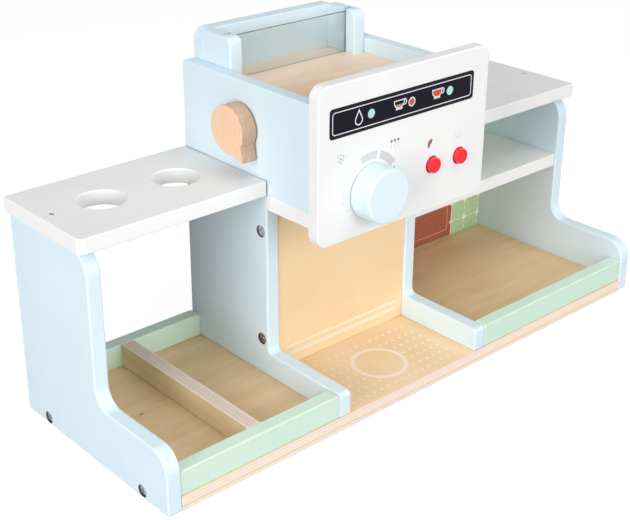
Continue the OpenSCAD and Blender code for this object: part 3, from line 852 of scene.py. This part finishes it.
def board(node, axis, material, slot, edge, seats=(), corner=None, hole_share=1.0):
    """A board cut to its node's outline, with its edges and corners rounded in mm. Seats
    are the sides of its box where it stands against another piece: (axis, 0 or 1)."""
    lowest, highest = low(node, axis), high(node, axis)
    loops = section(node, axis, lowest + min(SKIN, (highest - lowest) / 2))
    loops = sorted(oriented([loop for loop in loops
                             if max((p - loop[0]).length for p in loop) > SMALLEST_HOLE]),
                   key=lambda loop: -area(loop))
    joint = WIDE_JOINT if "counter_top" in node else JOINT
    seats = [((side - axis - 1) % 3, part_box(node)[end][side]) for side, end in seats]
    if seats:
        loops[0], seats = set_back(loops[0], seats, joint)
    corner = edge + CORNER_OVER_EDGE if corner is None else corner
    loops = [eased(loop, corner * MM, seats) if area(loop) > 0 else loop for loop in loops]
    solid = slab(axis, loops, lowest, highest, edge * MM, edge * MM,
                 screw_wells(node, axis), seats, hole_share)
    return stand_in(node, [solid], material, slot)


# Node, axis across the board, slot, radius of its edges in mm, and seats
FOOT, TOP, REAR, LEFT, RIGHT = (Z, 0), (Z, 1), (Y, 1), (X, 0), (X, 1)
PAINTED = [("left_side_panel", X, "pale_blue_paint", 1.2, [TOP]),
           ("right_side_panel", X, "pale_blue_paint", 1.2, [TOP]),
           ("left_inner_panel", X, "pale_blue_paint", 1.2, [TOP, FOOT]),
           ("right_inner_panel", X, "pale_blue_paint", 1.2, [TOP, FOOT]),
           ("housing_left_wall", X, "pale_blue_paint", 1.1, [FOOT]),
           ("housing_right_wall", X, "pale_blue_paint", 1.1, [FOOT]),
           ("housing_back_panel", Y, "pale_blue_paint", 0.5, [FOOT]),
           ("left_counter_top", Z, "white_paint", 0.7, [RIGHT]),
           ("right_counter_top", Z, "white_paint", 0.7, [LEFT]),
           ("right_shelf", Z, "white_paint", 0.7, [REAR]),
           ("centre_board", Z, "white_paint", 0.7, []),
           ("left_rear_rail", Y, "mint_paint", 0.9, [FOOT]),
           ("left_front_rail", Y, "mint_paint", 0.9, [FOOT]),
           ("right_front_rail", Y, "mint_paint", 0.9, [FOOT]),
           ("centre_back_panel", Y, "tan_print", 0.6, []),
           ("right_back_panel", Y, "tile_print", 0.4, [])]
RAIL_CORNER = 1.8
# Marks in the wood: mm from the stand's left and back, size in mm, and depth of the tone
PIN_KNOT, WARM_PATCH = (37.7, 60.8, 1, 0.95), (157, 70, 26, 0.25)
SOFT_SPOTS = [(57.6, 55.7, 4, 0.1), (300, 84, 5, 0.1)]


def mark(level, x, y, size, depth):
    """A mark's place on a level board, its size and its depth."""
    return Vector((across(x), STAND_BACK - y * MM, level)), size * MM, depth


def make_boards():
    """Painted and printed boards first, then bare plywood, the panel, its label and the pane."""
    for node, axis, slot, edge, seats in PAINTED:
        board(node, axis, PAINTS[slot], slot, edge, seats,
              RAIL_CORNER if node.endswith("rail") else None)
    marks = [mark(FLOOR_TOP, *given) for given in [PIN_KNOT] + SOFT_SPOTS]
    board("base_board", Z, plywood("birch_plywood_base", "base_board", Z, marks=marks),
          "plywood", 0.5)
    divider_ply = plywood("birch_plywood_divider", "bay_divider", X, ("#EAD5A9", "#E1C99A"),
                          FINE_PLIES, way=Y)
    board("bay_divider", X, divider_ply, "plywood", 0.4, [FOOT])
    warm = (*mark(high("tray_floor", Z), *WARM_PATCH), "#F0B27A")
    tray_ply = plywood("birch_plywood_tray", "tray_floor", Z, ("#F6E2CA", "#F0D9BF"),
                       marks=[warm])
    board("tray_floor", Z, tray_ply, "plywood", 0.4)
    board("control_panel", Y, white, "white_paint", 0.9, hole_share=0.4)
    board("display_label", Y, foil, "label_film", 0.1)
    board("hopper_window", Y, acrylic, "clear_acrylic", 0.3)


SLOT_DEPTH, CHEEK_EDGE = 6.5 * MM, 1.2 * MM


def make_cheek(node, inner):
    """A hopper cheek: an outer web, and two jambs that leave the window's slot between them.
    inner is -1 or 1, the side along X on which the slot opens."""
    outer_face, inner_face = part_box(node)[inner < 0][X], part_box(node)[inner > 0][X]
    shoulder = inner_face - inner * SLOT_DEPTH
    seats = [(0, high(node, Y)), (1, low(node, Z))]
    web = section(node, X, outer_face + inner * SKIN)[0]
    jambs = sorted(section(node, X, inner_face - inner * SKIN), key=lambda j: min(p.x for p in j))
    slot_sides = [(0, max(p.x for p in jambs[0])), (0, min(p.x for p in jambs[-1]))]
    solids = []
    for loop, ends, kept in [(web, (outer_face, shoulder), seats)] + [
            (jamb, (shoulder, inner_face), seats + slot_sides) for jamb in jambs]:
        rounded = eased(oriented([loop])[0], CHEEK_EDGE + CORNER_OVER_EDGE * MM, kept)
        edges = [CHEEK_EDGE if end != shoulder else 0 for end in sorted(ends)]
        solids.append(slab(X, [rounded], *sorted(ends), *edges, (), kept))
    stand_in(node, solids, pale_blue, "pale_blue_paint")


# ---- turned and sawn pieces ----

def rounded_end(radius, length, edge, steps=5):
    """(radius, height) points of a turned piece's front end with a rounded edge."""
    return [(radius - aside, length - drop)
            for drop, aside, _ in quarter_round(edge, steps)] + [(0, length)]


def smooth_lathe(profile, steps):
    """A turned shape about Z whose normals run smoothly along the profile."""
    solid = Solid(Z)
    rings = []
    for i, (radius, height) in enumerate(profile):
        before = profile[max(i - 1, 0)]
        after = profile[min(i + 1, len(profile) - 1)]
        lean = math.atan2(before[0] - after[0], after[1] - before[1])
        if min(radius, before[0], after[0]) == 0:
            lean = math.copysign(UPRIGHT, height - profile[len(profile) // 2][1])
        rings.append(solid.turned(radius, height, lean, steps))
    solid.wall(rings)
    return solid


def facing_front(node):
    """Moves a shape along +Z onto a node's axis along Y, its foot at the node's back."""
    centre = middle(node)
    turn = Matrix.Rotation(UPRIGHT, 4, "X")
    return Matrix.Translation((centre.x, high(node, Y), centre.z)) @ turn


DIAL_EDGE, DIAL_BACK_EDGE, DIAL_EDGE_STEPS = 2 * MM, 0.6 * MM, 8
DIAL_SIDES, CAP_SIDES, STEM_SIDES = 96, 64, 48
CAP_REACH, CAP_EDGE, FLANGE_T = 11.3 * MM, 0.5 * MM, 2 * MM
KNOB_CORNER, KNOB_EDGES = 0.6 * MM, (0.5 * MM, 1.2 * MM)


def make_dial():
    """The turned dial: a plain thick disc with a soft front edge."""
    node = "dial_knob"
    length = high(node, Y) - low(node, Y)
    radius = (high(node, X) - low(node, X)) / 2
    back = [(radius - aside, drop)
            for drop, aside, _ in quarter_round(DIAL_BACK_EDGE, DIAL_EDGE_STEPS)]
    front = rounded_end(radius, length, DIAL_EDGE, DIAL_EDGE_STEPS)
    shape = smooth_lathe([(0, 0)] + back[::-1] + front, DIAL_SIDES)
    stand_in(node, [shape], dial_blue, "dial_paint", facing_front(node))


def make_buttons():
    """Push buttons: a cap with a flat face, the flange behind the panel, and the guiding stem."""
    for node in ("left_button", "right_button"):
        length = high(node, Y) - low(node, Y)
        cap_r, stem_r = [(max(p.y for p in loop) - min(p.y for p in loop)) / 2 for loop in
                         (section(node, Y, low(node, Y) + SKIN)[0],
                          section(node, Y, high(node, Y) - SKIN)[0])]
        flange_r = (high(node, X) - low(node, X)) / 2
        cap_from = length - CAP_REACH
        flange_from = cap_from - FLANGE_T
        stem = lathe([(0, 0), (stem_r, 0), (stem_r, flange_from), (flange_r, flange_from),
                      (flange_r, cap_from), (cap_r, cap_from)], STEM_SIDES)
        front = rounded_end(cap_r, length, CAP_EDGE)
        cap = smooth_lathe([(cap_r, cap_from)] + front, CAP_SIDES)
        stand_in(node, [stem, cap], red_gloss, "red_paint", facing_front(node))


def make_side_knob():
    """The beaked knob, sawn from beech and sanded lightly round its edges."""
    node = "side_knob"
    outline = section(node, X, low(node, X) + SKIN)[0]
    outline = eased(oriented([outline])[0], KNOB_CORNER)
    stand_in(node, [slab(X, [outline], low(node, X), high(node, X), *KNOB_EDGES)],
             beech, "beech")


WIRE_R = 0.45 * MM
WIRE_SIDES, COIL_TURNS, COIL_STEPS = 10, 5, 32


def make_spring(side):
    """A coil spring behind a button."""
    node = f"{side}_button_spring"
    lowest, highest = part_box(node)
    centre = middle(node)
    coil_r = (highest.x - lowest.x) / 2 - WIRE_R
    start, end = lowest.y + WIRE_R, highest.y - WIRE_R
    coil = Solid(Y)
    rings = []
    for i in range(COIL_TURNS * COIL_STEPS + 1):
        angle = 2 * math.pi * i / COIL_STEPS
        spoke = Vector((math.cos(angle), 0, -math.sin(angle)))
        along = start + (end - start) * i / (COIL_TURNS * COIL_STEPS)
        place = Vector((centre.x, along, centre.z)) + spoke * coil_r
        round_wire = [2 * math.pi * k / WIRE_SIDES for k in range(WIRE_SIDES)]
        normals = [spoke * math.cos(a) + Vector((0, 1, 0)) * math.sin(a) for a in round_wire]
        rings.append(list(range(len(coil.points), len(coil.points) + WIRE_SIDES)))
        coil.points += [place + normal * WIRE_R for normal in normals]
        coil.normals += normals
    coil.wall([ring[::-1] for ring in rings])
    coil.faces += [tuple(rings[0]), tuple(rings[-1][::-1])]
    piece = stand_in(node, [coil], spring_steel, "steel")
    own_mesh(piece)


# ---- prints; their places are in mm from the stand's left face and from the ground ----

INK_PROUD, INK_ROOT = 0.05 * MM, 0.02 * MM
DOT_SIDES = 14
PRINTED_FACES = {"tan_print": TAN_FRONT, "tile_print": TILES_FRONT,
                 "label_film": LABEL_FRONT, "white_paint": PANEL_FRONT}


def wall_print(name, shapes, material, slot, layer=0):
    """Ink on the slot's face that looks to the front, or on a layer of ink over it.
    Each shape is a loop and its holes, as points of X and Z."""
    front = PRINTED_FACES[slot] - layer * INK_PROUD
    solids = [slab(Y, [[Vector((p.y, p.x)) for p in loop] for loop in loops],
                   front - INK_PROUD, front + INK_ROOT) for loops in shapes]
    add_to_cabinet(mesh_object(name, solids, material))


def floor_print(name, loops, level, material):
    """Ink on the plywood floor, or on a layer of ink over it."""
    solid = slab(Z, loops, level - INK_ROOT, level + INK_PROUD)
    add_to_cabinet(mesh_object(name, [solid], material))


def dots(name, places, radius, facing, material):
    """Printed dots at points on a face, made by Geometry Nodes."""
    model = mesh_object("dot", [slab(Z, [disc(ORIGIN, radius, DOT_SIDES)],
                                     -INK_ROOT, 2 * INK_PROUD)], material)
    add_to_cabinet(repeated(name, model, [(p, facing) for p in places], material))


def outline_of(loop, width):
    """A shape that follows a loop on its inside."""
    return [loop, inset(loop, width)]


def print_centre_floor():
    """Tan ground with rows of dots round a ring that marks where the cup stands."""
    front_margin, shift_left, ring_back = 0.5 * MM, 1.5 * MM, 109.4 * MM
    ring_r, ring_w = 17.9 * MM, 2.8 * MM
    pitch, columns, dot_r = 5.8 * MM, 16, 0.95 * MM
    rows = (86.3, 95.4, 102.6, 110.1, 117.3, 124.8, 132.0)
    ground = rectangle(BAY_LEFT, low("base_board", Y) + front_margin, BAY_RIGHT, TAN_FRONT)
    print_middle = BAY_MIDDLE - shift_left
    ring_at = Vector((print_middle, STAND_BACK - ring_back))
    tan_floor = printed_board("tan_printed_floor", "#F5DDB8", "#F0D4AC")
    floor_print("centre_floor_print", [ground], FLOOR_TOP, tan_floor)
    cream = ink("cream_ink", "#FBEBDD")
    ring = [disc(ring_at, r, 72) for r in (ring_r, ring_r - ring_w)]
    floor_print("cup_ring_print", ring, FLOOR_TOP + INK_PROUD, cream)
    places = [Vector((print_middle + (k - (columns - 1) / 2) * pitch, STAND_BACK - row * MM))
              for row in rows for k in range(columns)]
    places = [Vector((*p, FLOOR_TOP)) for p in places if (p - ring_at).length > ring_r + dot_r]
    dots("floor_dots_print", places, dot_r, Vector((0, 0, 1)), cream)


def print_tan_panel():
    """Two pale stripes along the foot of the tan board."""
    stripes = [[rectangle(across(133), bottom * MM, across(228), top * MM)]
               for bottom, top in ((21.0, 22.7), (15.6, 18.0))]
    wall_print("back_stripes_print", stripes, ink("pale_stripe_ink", "#EFE7D3"), "tan_print")


def print_tiles():
    """A plain tiled wall with dashed joints, and a brown cupboard with two round knobs."""
    pale = ink("pale_joint_ink", "#FCFFF4")
    pitch, first_x, first_z, dash = 15 * MM, across(354), 19.6 * MM, 5 * MM
    half_long, half_wide, crossing_r = 1.5 * MM, 0.3 * MM, 1.7 * MM
    margin, foot_margin, cupboard_top = 1 * MM, 0.4 * MM, 61 * MM
    cupboard_margin, edging_w = 2 * MM, 0.6 * MM
    lowest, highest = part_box("right_back_panel")
    left, right = lowest.x + margin, highest.x - margin
    bottom, top = lowest.z + foot_margin, highest.z - margin
    columns = [first_x + pitch * k for k in range(-8, 3) if left < first_x + pitch * k < right]
    rows = [first_z + pitch * k for k in range(8) if first_z + pitch * k < top]
    cupboard = (left + cupboard_margin, bottom, first_x, cupboard_top)
    inside = lambda x, z: x < cupboard[2] - margin and z < cupboard[3]
    crossings = [(x, z) for x in columns for z in rows if not inside(x, z)]
    joints = [((x, first_z + dash * (k + 0.5)), (half_wide, half_long)) for x in columns
              for k in range(-2, int((top - first_z) / dash))]
    joints += [((first_x + dash * (k + 0.5), z), (half_long, half_wide)) for z in rows
               for k in range(int((left - first_x) / dash), int((right - first_x) / dash))]
    dashes = [[rectangle(x - w, z - h, x + w, z + h)] for (x, z), (w, h) in joints
              if not inside(x, z)]
    wall_print("tile_joints_print", dashes, pale, "tile_print")
    dots("tile_crossings_print", [Vector((x, TILES_FRONT, z)) for x, z in crossings], crossing_r,
         Vector((0, -1, 0)), pale)
    brown, pink = ink("brown_ink", "#A95B42", 0.02), ink("pink_ink", "#DC9583")
    wall_print("cupboard_print", [[rectangle(*cupboard)]], brown, "tile_print")
    side_gap, end_gap, door_corner, line = 4 * MM, 5 * MM, 2 * MM, 0.8 * MM
    knob_x, knob_z, knob_r = 9 * MM, 36 * MM, 2.4 * MM
    middle_x = (cupboard[0] + cupboard[2]) / 2
    lines = [outline_of(rectangle(door_left + side_gap, cupboard[1] + end_gap,
                                  door_right - side_gap, cupboard[3] - end_gap, door_corner), line)
             for door_left, door_right in ((cupboard[0], middle_x), (middle_x, cupboard[2]))]
    lines += [[disc(Vector((middle_x + side * knob_x, knob_z)), knob_r)] for side in (-1, 1)]
    wall_print("cupboard_doors_print", lines, pink, "tile_print", layer=1)
    edging = rectangle(cupboard[2], bottom, cupboard[2] + edging_w, cupboard[3])
    wall_print("cupboard_edging_print", [[edging]], pale, "tile_print", layer=1)


def cup_outline(centre, size):
    """Loops of a cup: its bowl, its foot and its handle, in shares of its size."""
    top, half, deep = centre.y + 0.3 * size, 0.4 * size, 0.46 * size
    bowl = [Vector((centre.x + half * math.cos(a), top - deep * math.sin(a) ** 0.7))
            for a in [math.pi * k / 20 for k in range(21)]][::-1]
    foot = rectangle(centre.x - 0.24 * size, top - deep - 0.07 * size,
                     centre.x + 0.24 * size, top - deep + 0.03 * size)
    handle = stroke(arc(Vector((centre.x + 0.38 * size, top - 0.17 * size)), 0.15 * size,
                        -80, 85, 10), 0.07 * size)
    return bowl, foot, handle


def drop_outline(centre, size):
    """A drop: round below and pointed above, in shares of its size."""
    round_part = arc(centre - Vector((0, 0.17 * size)), 0.31 * size, 150, 390, 20)
    return round_part + [centre + Vector((0, 0.5 * size))]


def print_label():
    """White frame line, pictograms and lamp dots on the dark label."""
    row, line, thin = 179.3, 0.5 * MM, 0.6 * MM
    edge, left_edge, corner = 2 * MM, 1.6 * MM, 2 * MM
    drop_size, drop_line = 9.5 * MM, 0.7 * MM
    cup_size, half_full = 10.5 * MM, 0.9 * MM
    lamp_r, red_rim, red_gap, red_r = 2.6 * MM, 2.7 * MM, 2.05 * MM, 2 * MM
    lowest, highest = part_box("display_label")
    frame_line = rectangle(lowest.x + left_edge, lowest.z + edge,
                           highest.x - edge, highest.z - edge, corner)
    wall_print("label_field_print", [[frame_line]],
               label_film("label_field_film", "#080614", "#0C0A18"), "label_film", layer=-0.5)
    lines = [outline_of(frame_line, line),
             outline_of(drop_outline(spot(143, row), drop_size), drop_line)]
    fills = []
    for name, x, code, above in (("half_cup", 173.4, "#A8816C", half_full),
                                 ("full_cup", 203.6, "#CB3E10", cup_size)):
        bowl, foot, handle = cup_outline(spot(x, row), cup_size)
        lines += [outline_of(bowl, thin), [foot], [handle]]
        drink = [p for p in inset(bowl, thin) if p.y < row * MM + above]
        fills.append((name + "_print", [[drink]], ink(name + "_ink", code)))
    red_lamp = spot(183.3, row)
    lines.append([disc(red_lamp, red_rim), disc(red_lamp, red_gap)])
    wall_print("label_lines_print", lines, ink("white_ink", "#E9E6EC"), "label_film")
    fills.append(("mint_lamps_print", [[disc(spot(x, row), lamp_r)] for x in (152.2, 214.1)],
                  ink("mint_ink", "#ABE3D8")))
    fills.append(("red_lamp_print", [[disc(red_lamp, red_r)]], ink("red_ink", "#C0444E")))
    for name, shapes, material in fills:
        wall_print(name, shapes, material, "label_film")


def print_dial_scale():
    """The pale scale round the dial: three segments, two small dots and a tick.
    A segment has its inner and outer radius in mm, and its two angles in degrees."""
    dot_r = 0.6 * MM
    for name, code, inner, outer, start, end in (
            ("scale_grey_print", "#D2D5D3", 17.8, 22.4, 78, 113),
            ("scale_lilac_print", "#D0CCD0", 17.8, 22.4, 35.5, 72.5),
            ("scale_faint_print", "#E2E6E3", 19.3, 22.2, 124, 190)):
        wall_print(name, [[band(DIAL_AXIS, inner * MM, outer * MM, start, end)]],
                   ink(name + "_ink", code, 0.03), "white_paint")
    small = [[disc(spot(*place), dot_r, DOT_SIDES)]
             for place in ((136.1, 127.2), (139.1, 123.5))]
    wall_print("scale_dots_print", small, ink("scale_dot_ink", "#E0DBE2"), "white_paint")
    tick = [spot(*place) for place in ((169.6, 143.1), (172.2, 141.9), (171.6, 144.9))]
    wall_print("scale_tick_print", [[tick]], ink("tick_ink", "#7E8B86"), "white_paint")


def frost_star(centre):
    """Six arms with two twigs each."""
    arm_from, arm_to, arm_w = 0.4 * MM, 3.6 * MM, 0.7 * MM
    twig_from, twig_long, twig_w, twig_lean = 2 * MM, 1.3 * MM, 0.5 * MM, 0.8
    star = []
    for k in range(6):
        way = Matrix.Rotation(math.pi / 3 * (k + 0.5), 2) @ Vector((1, 0))
        star.append([stroke([centre + way * arm_from, centre + way * arm_to], arm_w)])
        for side in (-1, 1):
            twig = Matrix.Rotation(side * twig_lean, 2) @ way
            root = centre + way * twig_from
            star.append([stroke([root, root + twig * twig_long], twig_w)])
    return star


def bean_outline(centre):
    """A bean seen half from the side, leaning to the right; its sizes are in mm."""
    lean = Matrix.Rotation(math.radians(-24), 2)
    half_long, deep, groove = 2.9, 2.6, 0.35
    back = [Vector((-deep * math.sin(a), half_long * math.cos(a)))
            for a in [math.pi * s / 16 for s in range(17)]]
    cut = [Vector((-groove * math.sin(2 * math.pi * s / 8), half_long * (s / 4 - 1)))
           for s in range(1, 8)]
    return [centre + lean @ p * MM for p in back + cut]


def print_panel_icons():
    """Small faint pictograms over the dial and the buttons."""
    wall_print("frost_icon_print", frost_star(spot(130.6, 158.6)), ink("frost_ink", "#EDF7F9"),
               "white_paint")
    apart, sway, rise, steam_w = 2.7, 0.35 * MM, 0.42 * MM, 0.45 * MM
    head_r, head_over = 0.75 * MM, Vector((0, 0.7 * MM))
    steam, heads = [], []
    for k in (-1, 0, 1):
        start = spot(171.4 + apart * k, 155.1)
        path = [start + Vector((sway * math.sin(math.pi * s / 3), rise * s)) for s in range(10)]
        steam.append([stroke(path, steam_w)])
        heads.append([disc(path[-1] + head_over, head_r, 16)])
    bowl, foot, handle = cup_outline(spot(223.4, 150), 6 * MM)
    for name, shapes, code in (
            ("steam_lines", steam, "#D5D1D5"), ("steam_heads", heads, "#7E464B"),
            ("bean_icon", [[bean_outline(spot(200.8, 150.4))]], "#7C5840"),
            ("faint_cup", [outline_of(bowl, 0.5 * MM), [foot], [handle]], "#E4E4E4")):
        wall_print(name + "_print", shapes, ink(name + "_ink", code), "white_paint")


# ---- hidden pieces keep their CAD shape and get a finish ----

def dress_hidden_pieces():
    """Finishes on the nodes that the scene shows as they are."""
    finishes = {"button_block": plywood("birch_plywood_block", "button_block", Y),
                "button_block_screws": steel}
    for node in ("dial_axle", "dial_collar", "side_knob_axle", "side_knob_collar",
                 "counter_dowels", "panel_dowels"):
        finishes[node] = beech
    for node, material in finishes.items():
        mesh = frame["nodes"][node]
        if not mesh.material_slots:
            mesh.data.materials.append(material)
        for slot in mesh.material_slots:
            slot.link = "OBJECT"
            slot.material = material


# ---- studio ----

FLOOR_HALF = 12.0
FLOOR_GLOW, SKY_FILL, SKY_WHITE = 0.88, 0.02, 1.0


def seen_rays(tree):
    """1 for what the camera sees, in gloss and through glass too, and 0 for lighting."""
    path = add(tree, "ShaderNodeLightPath")
    seen = path.outputs["Is Camera Ray"]
    for kind in ("Is Glossy Ray", "Is Transmission Ray"):
        either = add(tree, "ShaderNodeMath", {0: seen, 1: path.outputs[kind]},
                     operation="MAXIMUM")
        seen = either.outputs[0]
    return seen


def make_floor():
    """A wide white floor. The camera sees it as plain white with the object's soft shadow,
    and the lamps' light meets a plain pale grey."""
    mesh = bpy.data.meshes.new("studio_floor")
    ends = [(x * FLOOR_HALF, y * FLOOR_HALF, 0) for x, y in ((-1, -1), (1, -1), (1, 1), (-1, 1))]
    mesh.from_pydata(ends, [], [(0, 1, 2, 3)])
    material = bpy.data.materials.new("white_studio_floor")
    material.use_nodes = True
    tree = material.node_tree
    tree.nodes.clear()
    plain = add(tree, "ShaderNodeBsdfDiffuse", {"Color": "#A8A8A8"})
    dim = add(tree, "ShaderNodeBsdfDiffuse", {"Color": "#8C8C8C"})
    glow = add(tree, "ShaderNodeEmission", {"Color": "#FFFFFF", "Strength": FLOOR_GLOW})
    seen = add(tree, "ShaderNodeAddShader", {0: dim.outputs[0], 1: glow.outputs[0]})
    both = add(tree, "ShaderNodeMixShader", {
        0: seen_rays(tree), 1: plain.outputs[0], 2: seen.outputs[0]})
    add(tree, "ShaderNodeOutputMaterial", {"Surface": both.outputs[0]})
    mesh.materials.append(material)
    in_scene("studio_floor", mesh)


def make_world():
    """Soft even fill, and plain white where the camera, gloss or glass looks past the floor."""
    world = bpy.data.worlds.new("studio")
    bpy.context.scene.world = world
    world.use_nodes = True
    tree = world.node_tree
    tree.nodes.clear()
    strength = add(tree, "ShaderNodeMapRange", {
        "Value": seen_rays(tree), "To Min": SKY_FILL, "To Max": SKY_WHITE})
    light = add(tree, "ShaderNodeBackground", {
        "Color": "#FFFFFF", "Strength": strength.outputs[0]})
    add(tree, "ShaderNodeOutputWorld", {"Surface": light.outputs[0]})


# Name, azimuth (0 is in front and -90 at the left), elevation, distance, width, watts
SOFT_BOXES = [("front_soft_box", 0, 15, 1.8, 1.1, 17.8),
              ("left_soft_box", -75, 14, 1.6, 1.0, 19.2),
              ("right_soft_box", 40, 38, 1.8, 1.1, 5.2),
              ("top_soft_box", -5, 82, 1.8, 1.8, 16.4)]
LIT_POINT = Vector((0, 0, 0.1))


def make_lights():
    """Square lamps that look at the stand."""
    for name, azimuth, elevation, distance, width, watts in SOFT_BOXES:
        lamp = bpy.data.lights.new(name, "AREA")
        lamp.size, lamp.energy = width, watts
        a, e = math.radians(azimuth), math.radians(elevation)
        way = Vector((math.sin(a) * math.cos(e), -math.cos(a) * math.cos(e), math.sin(e)))
        made = in_scene(name, lamp)
        made.location = LIT_POINT + way * distance
        made.rotation_euler = way.to_track_quat("Z", "Y").to_euler()


def make_camera():
    """The photograph's place, tilt and lens, found by fitting the stand's corners."""
    yaw, pitch, roll = 0.7333, -0.4185, 0.006
    place = (-0.4816, -0.4933, 0.3873)
    forward = Vector((math.sin(yaw) * math.cos(pitch), math.cos(yaw) * math.cos(pitch),
                      math.sin(pitch)))
    right = Vector((math.cos(yaw), -math.sin(yaw), 0))
    upward = right.cross(forward)
    turned_right = math.cos(roll) * right + math.sin(roll) * upward
    turned_up = math.cos(roll) * upward - math.sin(roll) * right
    lens = bpy.data.cameras.new("camera")
    lens.sensor_width, lens.lens = 36, 69.51
    lens.shift_x, lens.shift_y = 0.00296, -0.05164
    camera = in_scene("camera", lens)
    turn = Matrix((turned_right, turned_up, -forward)).transposed()
    camera.matrix_world = Matrix.Translation(place) @ turn.to_4x4()
    bpy.context.scene.camera = camera


make_camera()
make_boards()
make_cheek("hopper_left_cheek", 1)
make_cheek("hopper_right_cheek", -1)
make_dial()
make_buttons()
make_side_knob()
make_spring("left")
make_spring("right")
make_screws()
print_centre_floor()
print_tan_panel()
print_tiles()
print_label()
print_dial_scale()
print_panel_icons()
dress_hidden_pieces()
make_floor()
make_world()
make_lights()
bpy.context.scene.view_settings.view_transform = "Standard"
